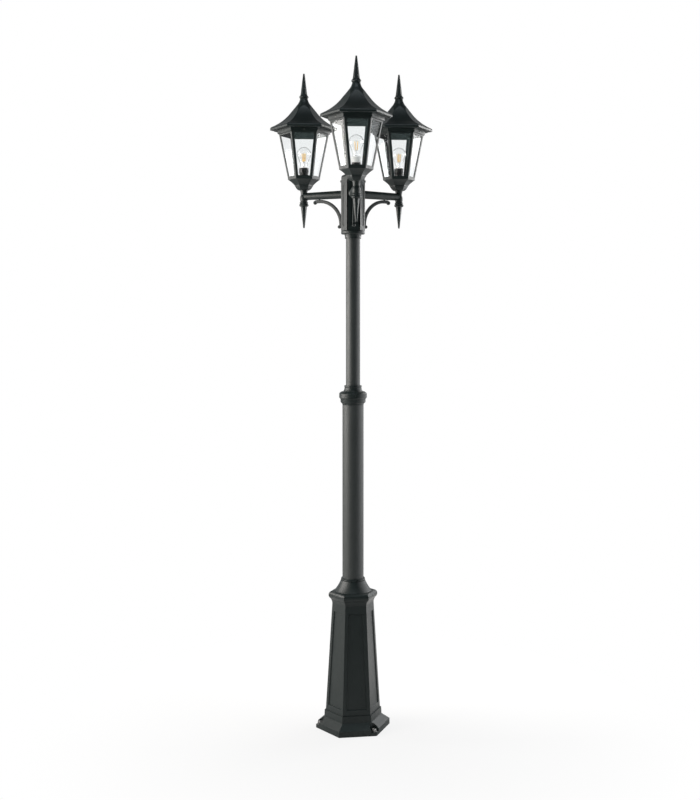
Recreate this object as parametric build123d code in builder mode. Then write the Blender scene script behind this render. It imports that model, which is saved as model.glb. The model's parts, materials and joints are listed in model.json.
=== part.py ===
from build123d import *
from math import acos, atan2, cos, hypot, pi, radians, sin, sqrt, tan
import os

# Triple head lamp post, in millimetres. +Z is up, the origin is the middle of the foot on the ground,
# and the front arm points along -Y. Every level is worked out from the ground upwards.
# A "flat" is a distance from a six-sided piece's axis to one of its facets.

# ---------------------------------------------------------------- the whole post
ARM_DIRECTIONS = {"front": 270, "right": 30, "left": 150}
PEDESTAL_TURN = 5.5  # the pedestal stands turned this far from the arms, as photographed
SEAT_GAP = 0.3  # between a roof and what it rests on
FIT = 0.15  # radial clearance of a tube, stem or screw in its hole
CUT_OVERRUN = 1.0  # how far a cut runs past the face that it opens
FACETS = [30, 90, 150, 210, 270, 330]  # where the facets of a six-sided piece face
CORNERS = [0, 60, 120, 180, 240, 300]

# ---------------------------------------------------------------- pedestal
FOOT_FLAT = 137.0
FOOT_RIM_HEIGHT = 24.0
FOOT_SLOPE_HEIGHT = 23.0
PLINTH_FLAT = 106.8
PLINTH_HEIGHT = 28.0
PLINTH_DRAFT = 1.5
SHAFT_FOOT_FLAT = 100.9
SHAFT_HEAD_FLAT = 77.0
SHAFT_HEIGHT = 449.0
COVE_OUT = 7.0
COVE_HEIGHT = 23.0
COVE_SAG = 2.0
OGEE_HEIGHT = 11.0
OGEE_BULGE = 1.0
CROWN_FLAT = 90.5
CROWN_RIM_HEIGHT = 8.0
CROWN_TOP_FLAT = 78.8
CROWN_ROUND_HEIGHT = 12.0
CROWN_BULGE = 2.5
PEDESTAL_WALL = 7.0
FOOT_OPENING_FLAT = 88.0
PANEL_DEPTH = 4.0
PANEL_SIDE_MARGIN = 14.0
PANEL_FOOT_MARGIN = 23.0
PANEL_HEAD_MARGIN = 30.0
PANEL_BEVEL = 32.0
SOCKET_DEPTH = 90.0
SOCKET_WALL = 7.0
SOCKET_RISE = 14.0
TUBE_LEDGE = 6.0
ANCHOR_CIRCLE_RADIUS = 142.0
ANCHOR_HOLE_RADIUS = 6.5
ANCHOR_POCKET_RADIUS = 20.0
ANCHOR_FLOOR = 14.0
ANCHOR_DIRECTIONS = (60, 180, 300)
SET_SCREW_RADIUS = 3.85
SET_SCREW_DIRECTIONS = (90, 210, 330)
SOCKET_SCREW_RISE = 7.0

# ---------------------------------------------------------------- bell, tubes and collar
BELL_FOOT_RADIUS = 77.5
BELL_LIP_HEIGHT = 2.5
BELL_WAIST_RADIUS = 68.0
BELL_WAIST_HEIGHT = 12.0
BELL_LIP_BULGE = 1.2
BELL_HEAD_RADIUS = 51.5
BELL_HEAD_HEIGHT = 18.5
BELL_SAG = 1.8
BELL_HOLLOW_FOOT_RADIUS = 72.0
BELL_HOLLOW_HEAD_RADIUS = 56.0
BEAD_RADIUS = 51.3
BEAD_NECK_RADIUS = 47.8
BEAD_HEIGHT = 21.0
LOWER_TUBE_RADIUS = 45.0
UPPER_TUBE_RADIUS = 30.0
TUBE_WALL = 3.0
LOWER_TUBE_LENGTH = 933.0
UPPER_TUBE_LENGTH = 836.0
COLLAR_LIP_OUT = 1.5
COLLAR_LIP_HEIGHT = 6.0
COLLAR_WAIST_RADIUS = 53.2
COLLAR_OGEE_HEIGHT = 7.0
COLLAR_OGEE_BULGE = 1.2
COLLAR_WAIST_HEIGHT = 10.0
COLLAR_BAND_RADIUS = 58.6
COLLAR_COVE_HEIGHT = 7.0
COLLAR_COVE_SAG = 0.8
COLLAR_BAND_HEIGHT = 18.0
COLLAR_NECK_FOOT_RADIUS = 41.0
COLLAR_SHOULDER_HEIGHT = 9.0
COLLAR_SHOULDER_BULGE = 2.5
COLLAR_NECK_RADIUS = 36.0
COLLAR_NECK_HEIGHT = 17.0
COLLAR_NECK_SAG = 1.2
COLLAR_TOP_RADIUS = 37.0
COLLAR_TOP_HEIGHT = 8.0
COLLAR_SPIGOT_LENGTH = 55.0
COLLAR_LEDGE = 4.0
COLLAR_SCREW_TURN = 7.0
SCREW_RECESS = 3.0

# ---------------------------------------------------------------- hub that carries the arms
HUB_SOCKET_DEPTH = 82.0
HUB_NECK_HEIGHT = 19.0
HUB_NECK_FOOT_RADIUS = 34.3
HUB_NECK_HEAD_RADIUS = 36.6
HUB_NECK_SAG = 1.0
HUB_FLANGE_RADIUS = 50.3
HUB_FLANGE_HEIGHT = 15.0
HUB_FLANGE_CHAMFER = 2.0
HUB_FLANGE_ROUND = 4.0
HUB_FLANGE_BULGE = 1.0
HUB_FLAT = 45.4
HUB_HEIGHT = 204.0
HUB_CAVITY_RADIUS = 26.5
HUB_TOP_FLAT = 46.8
HUB_TOP_HEIGHT = 8.0
GROOVE_WIDTH = 4.5
GROOVE_MOUTH = 9.0
GROOVE_MOUTH_DEPTH = 3.0
GROOVE_FLOOR_RADIUS = 39.0
FLUTE_WIDTH = 20.0
FLUTE_LENGTH = 176.0
FLUTE_RISE = 16.0
FLUTE_DEPTH = 2.0
WIRE_SHELF_RISE = 60.0
WIRE_SHELF_WIDTH = 20.0
WIRE_SHELF_THICKNESS = 5.0
HUB_SCREW_RISE = 8.0
HUB_SCREW_RADIUS = 3.0
LID_FLAT = 43.2
LID_RIM_HEIGHT = 12.0
LID_SHOULDER_FLAT = 39.8
LID_SHOULDER_HEIGHT = 9.0
LID_SHOULDER_BULGE = 0.8
LID_DOME_HEIGHT = 12.0
LID_DOME_BULGE = 2.0
LID_PLUG_LENGTH = 8.0
LID_PLUG_WALL = 3.5
TERMINAL_LENGTH = 34.0
TERMINAL_WIDTH = 17.0
TERMINAL_HEIGHT = 14.0
TERMINAL_POLES = 3
TERMINAL_HOLE_RADIUS = 2.2

# ---------------------------------------------------------------- arms, scrolls and pendants
ARM_REACH = 238.0
ARM_RISE_ON_HUB = 155.0
ARM_HUB_RADIUS = 17.4
ARM_END_RADIUS = 15.5
ARM_BORE_RADIUS = 7.0
ARM_SPIGOT_RADIUS = 11.0
ARM_SPIGOT_LENGTH = 13.0
ARM_FLANGE_RADIUS = 20.5
ARM_FLANGE_THICKNESS = 4.0
CARRIER_ABOVE_ARM = 27.0
CARRIER_BELOW_ARM = 23.0
CARRIER_TOP_RADIUS = 17.0
CARRIER_NECK_RADIUS = 14.0
CARRIER_BOSS_RADIUS = 17.0
CARRIER_FOOT_RADIUS = 14.0
CARRIER_NECK_RISE = 5.4
CARRIER_SAG = 1.0
SCROLL_THICKNESS = 14.0
SCROLL_WIDTH = 12.0
SCROLL_CORNER_RADIUS = 3.0
SCROLL_ARC_RADIUS = 104.0
SCROLL_ARC_CENTRE = 161.0
SCROLL_ARM_GAP = 0.3
SCROLL_RUN = 12.0
SCROLL_TOP_CURL_RADIUS = 12.0
SCROLL_TOP_CURL_TURN = 50.0
SCROLL_TOP_BALL_RADIUS = 8.5
SCROLL_LOW_CURL_RADIUS = 8.0
SCROLL_LOW_CURL_TURN = 90.0
SCROLL_LOW_BALL_RADIUS = 7.5
SCROLL_PEG_RADIUS = 3.0
SCROLL_PEG_LENGTH = 6.0
SCROLL_PAD_RADIUS = 5.5
SCROLL_PAD_RISE = 6.0
BEAD_RING_RADIUS = 18.0
BEAD_EDGE_RADIUS = 16.0
BEAD_RING_HEIGHT = 8.0
DROP_RING_RADIUS = 20.2
DROP_RING_HEIGHT = 12.0
DROP_SPIKE_LENGTH = 93.0
DROP_SPIKE_FLAT = 12.0
SPIKE_TIP_FLAT = 3.0
STUD_RADIUS = 4.0
DROP_STUD_LENGTH = 11.0
NIPPLE_RADIUS = 5.0
NIPPLE_BORE_RADIUS = 3.0
NIPPLE_GRIP = 18.0

# ---------------------------------------------------------------- lantern
CUP_FOOT_FLAT = 20.8
CUP_HEAD_FLAT = 32.9
CUP_HEIGHT = 17.0
CUP_STEP = 1.8
CUP_STEP_HEIGHT = 4.0
CUP_FLOOR = 4.0
CUP_BULGE = 1.5
FLARE_SAG = 1.2
FLARE_HEAD_FLAT = 58.9
FLARE_HEIGHT = 24.0
CUP_FOOT_WALL = 1.5
FLARE_WALL = 4.5
CAST_WALL = 3.0
CAGE_RAIL_FLAT = 59.8
CAGE_RAIL_HEIGHT = 10.0
CAGE_FOOT_FLAT = 60.6
CAGE_HEAD_FLAT = 90.9
CAGE_BAR_LENGTH = 173.0
CAGE_BAR_LEG = 10.5
CAGE_FLOOR_FLAT = 48.0
CAGE_FLOOR_THICKNESS = 3.0
CAGE_BAND_FLAT = 93.5
CAGE_BAND_HEIGHT = 18.0
CAGE_BAND_INNER_FLAT = 90.2
CAGE_SPIGOT_FLAT = 89.5
CAGE_SPIGOT_INNER_FLAT = 84.0
CAGE_SPIGOT_HEIGHT = 8.0
CAGE_LEDGE_DROP = 6.0
WINDOW_END_MARGIN = 3.5
PANE_THICKNESS = 3.0
PANE_SIDE_MARGIN = 3.9
PANE_END_GAP = 0.3
GASKET_WIDTH = 4.8
GASKET_THICKNESS = 1.8
SKIRT_FLAT = 98.7
SKIRT_WALL = 3.5
SKIRT_DROP = 13.5
LEDGE_INNER_FLAT = 82.0
SOFFIT_THICKNESS = 3.5
SOFFIT_SLOPE = 2.5
EAVE_FLAT = 126.4
EAVE_RISE = 1.0
EAVE_RIM_HEIGHT = 8.0
EAVE_ROUND = 5.2
EAVE_ROUND_HEIGHT = 7.0
EAVE_CHAMFER = 1.0
EAVE_BULGE = 0.8
ROOF_HEIGHT = 94.0
ROOF_HEAD_FLAT = 32.5
ROOF_SAG = 12.0
ROOF_WALL = 3.5
ROOF_HOLLOW_FLAT = 108.0
ROOF_CROWN_THICKNESS = 16.0
ROOF_CROWN_RADIUS = 31.0
CROWN_CONE_WAIST_RADIUS = 56.0
CROWN_CONE_WAIST_DROP = 30.0
CROWN_CONE_FOOT_RADIUS = 92.0
CROWN_CONE_FOOT_DROP = 62.0
ROOF_SCREW_RADIUS = 2.0
ROOF_SCREW_HEAD_RADIUS = 3.8
ROOF_SCREW_HEAD_HEIGHT = 2.4
ROOF_SCREW_DROP = 5.5
ROOF_SCREW_DIRECTIONS = (90, 210, 330)
ROOF_TURNS = {"front": 0, "right": 0, "left": 60}  # one roof is screwed on a facet further round
CAP_HEAD_RADIUS = 16.5
CAP_HEIGHT = 30.0
CAP_SAG = 2.6
CAP_WALL = 4.0
FINIAL_RING_RADIUS = 20.0
FINIAL_RING_NECK_RADIUS = 15.5
FINIAL_RING_HEIGHT = 17.0
FINIAL_STEP_RADIUS = 14.6
FINIAL_STEP_HEIGHT = 5.0
FINIAL_SPIKE_FLAT = 12.4
FINIAL_SPIKE_LENGTH = 90.0
FINIAL_STUD_END = 8.0

# ---------------------------------------------------------------- lamp
HOLDER_LIFT = 8.0
HOLDER_BODY_RADIUS = 19.0
HOLDER_BODY_HEIGHT = 20.0
HOLDER_NECK_RADIUS = 16.5
HOLDER_NECK_HEIGHT = 20.5
HOLDER_RING_RADIUS = 20.5
HOLDER_RING_LIP = 2.0
HOLDER_FLOOR = 12.0
HOLDER_SOCKET_DEPTH = 9.0
HOLDER_LIP_RADIUS = 15.5
HOLDER_CHAMFER = 2.0
BULB_CAP_RADIUS = 13.2
BULB_CAP_LENGTH = 26.0
BULB_CONTACT_RADIUS = 4.5
BULB_CONTACT_LENGTH = 4.0
BULB_CAP_CHAMFER = 2.0
THREAD_CLEARANCE = 0.4
BULB_RADIUS = 30.0
BULB_LENGTH = 92.0
BULB_NECK_RADIUS = 13.0
BULB_THROAT_RADIUS = 17.5
BULB_THROAT_HEIGHT = 18.0
BULB_WALL = 0.8
MOUNT_STEM_RADIUS = 3.5
MOUNT_STEM_LENGTH = 28.0
FILAMENT_COUNT = 4
FILAMENT_RADIUS = 1.0
FILAMENT_LENGTH = 34.0
FILAMENT_CIRCLE_RADIUS = 6.0
FILAMENT_DISC_THICKNESS = 1.5
FILAMENT_DISC_MARGIN = 0.6

# ---------------------------------------------------------------- levels of the post
FOOT_TOP = FOOT_RIM_HEIGHT
PLINTH_FOOT = FOOT_TOP + FOOT_SLOPE_HEIGHT
PLINTH_TOP = PLINTH_FOOT + PLINTH_HEIGHT
SHAFT_TOP = PLINTH_TOP + SHAFT_HEIGHT
COVE_TOP = SHAFT_TOP + COVE_HEIGHT
CROWN_FOOT = COVE_TOP + OGEE_HEIGHT
CROWN_TOP = CROWN_FOOT + CROWN_RIM_HEIGHT
PEDESTAL_TOP = CROWN_TOP + CROWN_ROUND_HEIGHT
SOCKET_TOP = PEDESTAL_TOP + SOCKET_RISE
SOCKET_SCREW_LEVEL = PEDESTAL_TOP + SOCKET_SCREW_RISE
TUBE_SEAT = SHAFT_TOP - SOCKET_DEPTH
BELL_WAIST = PEDESTAL_TOP + BELL_LIP_HEIGHT + BELL_WAIST_HEIGHT
BELL_HEAD = BELL_WAIST + BELL_HEAD_HEIGHT
BELL_TOP = BELL_HEAD + BEAD_HEIGHT
LOWER_TUBE_TOP = TUBE_SEAT + LOWER_TUBE_LENGTH
COLLAR_SEAT = LOWER_TUBE_TOP - COLLAR_SPIGOT_LENGTH
COLLAR_BAND_FOOT = (
    LOWER_TUBE_TOP + COLLAR_LIP_HEIGHT + COLLAR_OGEE_HEIGHT + COLLAR_WAIST_HEIGHT + COLLAR_COVE_HEIGHT
)
COLLAR_BAND_TOP = COLLAR_BAND_FOOT + COLLAR_BAND_HEIGHT
COLLAR_SHOULDER = COLLAR_BAND_TOP + COLLAR_SHOULDER_HEIGHT
COLLAR_NECK = COLLAR_SHOULDER + COLLAR_NECK_HEIGHT
COLLAR_TOP = COLLAR_NECK + COLLAR_TOP_HEIGHT
COLLAR_SCREW_LEVEL = COLLAR_BAND_FOOT + COLLAR_BAND_HEIGHT / 2
UPPER_TUBE_FOOT = COLLAR_SEAT + COLLAR_LEDGE
UPPER_TUBE_TOP = UPPER_TUBE_FOOT + UPPER_TUBE_LENGTH
HUB_FOOT = UPPER_TUBE_TOP - HUB_SOCKET_DEPTH
HUB_NECK_TOP = HUB_FOOT + HUB_NECK_HEIGHT
HUB_BODY_FOOT = HUB_NECK_TOP + HUB_FLANGE_HEIGHT
HUB_BODY_TOP = HUB_BODY_FOOT + HUB_HEIGHT
HUB_TOP = HUB_BODY_TOP + HUB_TOP_HEIGHT
HUB_SCREW_LEVEL = HUB_FOOT + HUB_SCREW_RISE
HUB_CAVITY_FLOOR = UPPER_TUBE_TOP + TUBE_LEDGE
WIRE_SHELF = HUB_CAVITY_FLOOR + WIRE_SHELF_RISE
ARM_LEVEL = HUB_BODY_FOOT + ARM_RISE_ON_HUB

# ---------------------------------------------------------------- levels of a lantern
CARRIER_TOP = ARM_LEVEL + CARRIER_ABOVE_ARM
CARRIER_FOOT = ARM_LEVEL - CARRIER_BELOW_ARM
CUP_TOP = CARRIER_TOP + CUP_HEIGHT
FLARE_FOOT = CUP_TOP + CUP_STEP_HEIGHT
CAGE_FOOT = FLARE_FOOT + FLARE_HEIGHT
CAGE_FLOOR = CAGE_FOOT + CAGE_FLOOR_THICKNESS
BAR_FOOT = CAGE_FOOT + CAGE_RAIL_HEIGHT
BAR_TOP = BAR_FOOT + CAGE_BAR_LENGTH
BAND_TOP = BAR_TOP + CAGE_BAND_HEIGHT
CAGE_LEDGE = BAND_TOP - CAGE_LEDGE_DROP
CAGE_TOP = BAND_TOP + CAGE_SPIGOT_HEIGHT
ROOF_LEDGE = CAGE_TOP + GASKET_THICKNESS + SEAT_GAP
SOFFIT = ROOF_LEDGE + SOFFIT_SLOPE
SKIRT_FOOT = SOFFIT - SOFFIT_SLOPE - SKIRT_DROP
EAVE_FOOT = ROOF_LEDGE + EAVE_RISE
EAVE_TOP = EAVE_FOOT + EAVE_RIM_HEIGHT
ROOF_FOOT = EAVE_TOP + EAVE_ROUND_HEIGHT
ROOF_TOP = ROOF_FOOT + ROOF_HEIGHT
ROOF_SCREW_LEVEL = ROOF_LEDGE - ROOF_SCREW_DROP
CAP_TOP = ROOF_TOP + CAP_HEIGHT
FINIAL_RING_TOP = CAP_TOP + FINIAL_RING_HEIGHT
FINIAL_TOP = FINIAL_RING_TOP + FINIAL_SPIKE_LENGTH
DROP_RING_TOP = CARRIER_FOOT - BEAD_RING_HEIGHT
DROP_RING_FOOT = DROP_RING_TOP - DROP_RING_HEIGHT
DROP_TIP = DROP_RING_FOOT - DROP_SPIKE_LENGTH
HOLDER_FOOT = CAGE_FOOT + HOLDER_LIFT
HOLDER_SHOULDER = HOLDER_FOOT + HOLDER_BODY_HEIGHT
HOLDER_TOP = HOLDER_SHOULDER + HOLDER_NECK_HEIGHT
RING_TOP = HOLDER_TOP + HOLDER_RING_LIP
CONTACT_FOOT = HOLDER_FOOT + HOLDER_FLOOR
BULB_CAP_FOOT = CONTACT_FOOT + BULB_CONTACT_LENGTH
BULB_FOOT = BULB_CAP_FOOT + BULB_CAP_LENGTH
BULB_THROAT = BULB_FOOT + BULB_THROAT_HEIGHT
BULB_TOP = BULB_FOOT + BULB_LENGTH


# ---------------------------------------------------------------- shared shapes
def heading(angle, radius=1.0, level=0.0):
    """A point at this compass angle, this far from the axis."""
    return Vector(radius * cos(radians(angle)), radius * sin(radians(angle)), level)


def side_view(angle):
    """The upright plane through the axis: x points along the angle and y points up."""
    return Plane(origin=(0, 0, 0), x_dir=heading(angle), z_dir=heading(angle - 90))


def facet_plane(angle, low, high, inwards=0.0):
    """The plane of a sloping facet, from its ends (flat, level), moved inwards along its normal."""
    length = hypot(high[0] - low[0], high[1] - low[1])
    outward = heading(angle, (high[1] - low[1]) / length, (low[0] - high[0]) / length)
    middle = heading(angle, (low[0] + high[0]) / 2, (low[1] + high[1]) / 2)
    return Plane(origin=middle - outward * inwards, x_dir=heading(angle + 90), z_dir=outward)


def facet_sheet(low, high, side_margin):
    """The outline of a facet between two ends, drawn in at its sides, on the facet's own plane."""
    half_length = hypot(high[0] - low[0], high[1] - low[1]) / 2
    low_half = low[0] * tan(pi / 6) - side_margin
    high_half = high[0] * tan(pi / 6) - side_margin
    Polygon(
        (-low_half, -half_length),
        (low_half, -half_length),
        (high_half, half_length),
        (-high_half, half_length),
        align=None,
    )


def mitred_hexagon(half_outline, first_flat=FACETS[0]):
    """A six-sided body with mitred corners, from the outline of its half section."""
    with BuildPart() as body:
        for turn in CORNERS[:3]:
            with BuildSketch(side_view(first_flat + turn)):
                with BuildLine():
                    half_outline()
                make_face()
                mirror(about=Plane.YZ)
            extrude(amount=2 * FOOT_FLAT, both=True, mode=Mode.INTERSECT if turn else Mode.ADD)
    return body.part


def hexagonal_spike(foot_flat, tip_flat, foot, tip):
    """A six-sided spike between two levels. It points up or down."""

    def spike_outline():
        Polyline((0, foot), (foot_flat, foot), (tip_flat, tip), (0, tip), close=True)

    return mitred_hexagon(spike_outline)


def radial_rod(angle, level, inner, outer, radius):
    """A round rod along a radius of the axis, for screws and their holes."""
    with BuildPart(Plane(origin=heading(angle, inner, level), z_dir=heading(angle))) as rod:
        Cylinder(radius, outer - inner, align=(Align.CENTER, Align.CENTER, Align.MIN))
    return rod.part


# ---------------------------------------------------------------- pedestal
SHAFT_LOW = (SHAFT_FOOT_FLAT, PLINTH_TOP)
SHAFT_HIGH = (SHAFT_HEAD_FLAT, SHAFT_TOP)
SHAFT_DRAFT = (SHAFT_FOOT_FLAT - SHAFT_HEAD_FLAT) / SHAFT_HEIGHT
PANEL_LOW = (SHAFT_FOOT_FLAT - SHAFT_DRAFT * PANEL_FOOT_MARGIN, PLINTH_TOP + PANEL_FOOT_MARGIN)
PANEL_HIGH = (SHAFT_HEAD_FLAT + SHAFT_DRAFT * PANEL_HEAD_MARGIN, SHAFT_TOP - PANEL_HEAD_MARGIN)
SOCKET_BORE = LOWER_TUBE_RADIUS + FIT
SOCKET_RADIUS = SOCKET_BORE + SOCKET_WALL
WIRE_BORE = LOWER_TUBE_RADIUS - TUBE_LEDGE
SET_SCREW_HOLE = SET_SCREW_RADIUS + FIT


def pedestal_outline():
    """Along the ground, then up over the foot, plinth, shaft, cove and crown."""
    Polyline(
        (0, 0),
        (FOOT_FLAT, 0),
        (FOOT_FLAT, FOOT_TOP),
        (PLINTH_FLAT, PLINTH_FOOT),
        (PLINTH_FLAT - PLINTH_DRAFT, PLINTH_TOP),
        SHAFT_LOW,
        SHAFT_HIGH,
    )
    cove_head = (SHAFT_HEAD_FLAT + COVE_OUT, COVE_TOP)
    SagittaArc(SHAFT_HIGH, cove_head, COVE_SAG)
    SagittaArc(cove_head, (CROWN_FLAT, CROWN_FOOT), -OGEE_BULGE)
    Line((CROWN_FLAT, CROWN_FOOT), (CROWN_FLAT, CROWN_TOP))
    SagittaArc((CROWN_FLAT, CROWN_TOP), (CROWN_TOP_FLAT, PEDESTAL_TOP), -CROWN_BULGE)
    Polyline((CROWN_TOP_FLAT, PEDESTAL_TOP), (0, PEDESTAL_TOP), (0, 0))


def pedestal_hollow_outline():
    """The open space under the shaft."""
    Polyline(
        (0, 0),
        (FOOT_OPENING_FLAT, 0),
        (SHAFT_FOOT_FLAT - PEDESTAL_WALL, PLINTH_TOP),
        (SHAFT_HEAD_FLAT - PEDESTAL_WALL, SHAFT_TOP),
        (SHAFT_HEAD_FLAT - PEDESTAL_WALL, CROWN_TOP - PEDESTAL_WALL),
        (0, CROWN_TOP - PEDESTAL_WALL),
        close=True,
    )


pedestal_body = mitred_hexagon(pedestal_outline, FACETS[0] + PEDESTAL_TURN)
pedestal_hollow = mitred_hexagon(pedestal_hollow_outline, FACETS[0] + PEDESTAL_TURN)
with BuildPart() as pedestal:
    add(pedestal_body)
    add(pedestal_hollow, mode=Mode.SUBTRACT)
    # the socket that holds the tube, with the ledge that the tube stands on
    with BuildSketch(Plane.XY.offset(TUBE_SEAT - TUBE_LEDGE)):
        Circle(SOCKET_RADIUS)
    extrude(amount=SOCKET_TOP - TUBE_SEAT + TUBE_LEDGE)
    with BuildSketch(Plane.XY.offset(TUBE_SEAT - TUBE_LEDGE)):
        Circle(WIRE_BORE)
    extrude(amount=TUBE_LEDGE, mode=Mode.SUBTRACT)
    with BuildSketch(Plane.XY.offset(TUBE_SEAT)):
        Circle(SOCKET_BORE)
    extrude(amount=SOCKET_TOP - TUBE_SEAT, mode=Mode.SUBTRACT)
    # a recessed panel in each facet of the shaft
    for facet in FACETS:
        with BuildSketch(facet_plane(facet + PEDESTAL_TURN, PANEL_LOW, PANEL_HIGH)):
            facet_sheet(PANEL_LOW, PANEL_HIGH, PANEL_SIDE_MARGIN)
        extrude(amount=-PANEL_DEPTH, taper=PANEL_BEVEL, mode=Mode.SUBTRACT)
    # a notch and a bolt hole at every other corner of the foot
    with BuildSketch(Plane.XY.offset(ANCHOR_FLOOR)):
        with Locations([heading(PEDESTAL_TURN + a, ANCHOR_CIRCLE_RADIUS) for a in ANCHOR_DIRECTIONS]):
            Circle(ANCHOR_POCKET_RADIUS)
    extrude(amount=PLINTH_TOP - ANCHOR_FLOOR, mode=Mode.SUBTRACT)
    with BuildSketch():
        with Locations([heading(PEDESTAL_TURN + a, ANCHOR_CIRCLE_RADIUS) for a in ANCHOR_DIRECTIONS]):
            Circle(ANCHOR_HOLE_RADIUS)
    extrude(amount=ANCHOR_FLOOR, mode=Mode.SUBTRACT)
    for angle in SET_SCREW_DIRECTIONS:
        add(
            radial_rod(angle, SOCKET_SCREW_LEVEL, WIRE_BORE, SOCKET_RADIUS + FIT, SET_SCREW_HOLE),
            mode=Mode.SUBTRACT,
        )

with BuildPart() as pedestal_screws:
    for angle in SET_SCREW_DIRECTIONS:
        add(radial_rod(angle, SOCKET_SCREW_LEVEL, SOCKET_BORE, SOCKET_RADIUS, SET_SCREW_RADIUS))

# ---------------------------------------------------------------- bell collar
with BuildPart() as bell_collar:
    with BuildSketch(Plane.XZ):
        with BuildLine():
            bell_lip = (BELL_FOOT_RADIUS, PEDESTAL_TOP + BELL_LIP_HEIGHT)
            bell_waist = (BELL_WAIST_RADIUS, BELL_WAIST)
            bell_head = (BELL_HEAD_RADIUS, BELL_HEAD)
            bead_foot = (BEAD_NECK_RADIUS, BELL_HEAD)
            bead_head = (BEAD_NECK_RADIUS, BELL_TOP)
            Line((BELL_FOOT_RADIUS, PEDESTAL_TOP), bell_lip)
            SagittaArc(bell_lip, bell_waist, -BELL_LIP_BULGE)
            SagittaArc(bell_waist, bell_head, BELL_SAG)
            Line(bell_head, bead_foot)
            ThreePointArc(bead_foot, (BEAD_RADIUS, (BELL_HEAD + BELL_TOP) / 2), bead_head)
            Polyline(
                bead_head,
                (SOCKET_BORE, BELL_TOP),
                (SOCKET_BORE, SOCKET_TOP + FIT),
                (BELL_HOLLOW_HEAD_RADIUS, SOCKET_TOP + FIT),
                (BELL_HOLLOW_FOOT_RADIUS, PEDESTAL_TOP),
                (BELL_FOOT_RADIUS, PEDESTAL_TOP),
            )
        make_face()
    revolve(axis=Axis.Z)


# ---------------------------------------------------------------- tubes
def tube(radius, foot, length):
    """A plain round tube between two levels."""
    with BuildPart(Plane.XY.offset(foot)) as pipe:
        Cylinder(radius, length, align=(Align.CENTER, Align.CENTER, Align.MIN))
        Cylinder(
            radius - TUBE_WALL, length, align=(Align.CENTER, Align.CENTER, Align.MIN), mode=Mode.SUBTRACT
        )
    return pipe


lower_tube = tube(LOWER_TUBE_RADIUS, TUBE_SEAT, LOWER_TUBE_LENGTH)
upper_tube = tube(UPPER_TUBE_RADIUS, UPPER_TUBE_FOOT, UPPER_TUBE_LENGTH)

# ---------------------------------------------------------------- collar between the tubes
COLLAR_SCREWS = [angle + COLLAR_SCREW_TURN for angle in ARM_DIRECTIONS.values()]
COLLAR_SCREW_END = COLLAR_BAND_RADIUS - SCREW_RECESS
UPPER_BORE = UPPER_TUBE_RADIUS + FIT
with BuildPart() as collar:
    with BuildSketch(Plane.XZ):
        with BuildLine():
            lip_foot = (LOWER_TUBE_RADIUS, LOWER_TUBE_TOP)
            lip_head = (LOWER_TUBE_RADIUS + COLLAR_LIP_OUT, LOWER_TUBE_TOP + COLLAR_LIP_HEIGHT)
            waist_foot = (COLLAR_WAIST_RADIUS, lip_head[1] + COLLAR_OGEE_HEIGHT)
            waist_head = (COLLAR_WAIST_RADIUS, waist_foot[1] + COLLAR_WAIST_HEIGHT)
            band_foot = (COLLAR_BAND_RADIUS, COLLAR_BAND_FOOT)
            band_head = (COLLAR_BAND_RADIUS, COLLAR_BAND_TOP)
            shoulder = (COLLAR_NECK_FOOT_RADIUS, COLLAR_SHOULDER)
            neck = (COLLAR_NECK_RADIUS, COLLAR_NECK)
            spigot = LOWER_TUBE_RADIUS - TUBE_WALL - FIT
            Line(lip_foot, lip_head)
            SagittaArc(lip_head, waist_foot, -COLLAR_OGEE_BULGE)
            Line(waist_foot, waist_head)
            SagittaArc(waist_head, band_foot, COLLAR_COVE_SAG)
            Line(band_foot, band_head)
            SagittaArc(band_head, shoulder, -COLLAR_SHOULDER_BULGE)
            SagittaArc(shoulder, neck, COLLAR_NECK_SAG)
            top_middle = (COLLAR_TOP_RADIUS, (COLLAR_NECK + COLLAR_TOP) / 2)
            ThreePointArc(neck, top_middle, (COLLAR_NECK_RADIUS, COLLAR_TOP))
            Polyline(
                (COLLAR_NECK_RADIUS, COLLAR_TOP),
                (UPPER_BORE, COLLAR_TOP),
                (UPPER_BORE, UPPER_TUBE_FOOT),
                (UPPER_TUBE_RADIUS - TUBE_LEDGE, UPPER_TUBE_FOOT),
                (UPPER_TUBE_RADIUS - TUBE_LEDGE, COLLAR_SEAT),
                (spigot, COLLAR_SEAT),
                (spigot, LOWER_TUBE_TOP),
                lip_foot,
            )
        make_face()
    revolve(axis=Axis.Z)
    for angle in COLLAR_SCREWS:
        hole_end = COLLAR_BAND_RADIUS + CUT_OVERRUN
        add(
            radial_rod(angle, COLLAR_SCREW_LEVEL, UPPER_TUBE_RADIUS, hole_end, SET_SCREW_HOLE),
            mode=Mode.SUBTRACT,
        )

with BuildPart() as collar_screws:
    for angle in COLLAR_SCREWS:
        add(radial_rod(angle, COLLAR_SCREW_LEVEL, UPPER_BORE, COLLAR_SCREW_END, SET_SCREW_RADIUS))

# ---------------------------------------------------------------- hub
SCROLL_TOP = ARM_LEVEL - ARM_HUB_RADIUS - SCROLL_ARM_GAP - SCROLL_THICKNESS / 2
SCROLL_ARC_LEVEL = SCROLL_TOP - SCROLL_ARC_RADIUS
SCROLL_PAD_LEVEL = SCROLL_ARC_LEVEL + SCROLL_PAD_RISE
HUB_SCREW_HOLE = HUB_SCREW_RADIUS + FIT
PEG_HOLE = SCROLL_PEG_RADIUS + FIT
HUB_CORNER = HUB_FLAT / cos(pi / 6)
FLUTE_LOW = (HUB_FLAT, HUB_BODY_FOOT + FLUTE_RISE)
FLUTE_HIGH = (HUB_FLAT, HUB_BODY_FOOT + FLUTE_RISE + FLUTE_LENGTH)
PEG_END = HUB_FLAT - FLUTE_DEPTH - SCROLL_PEG_LENGTH


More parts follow.
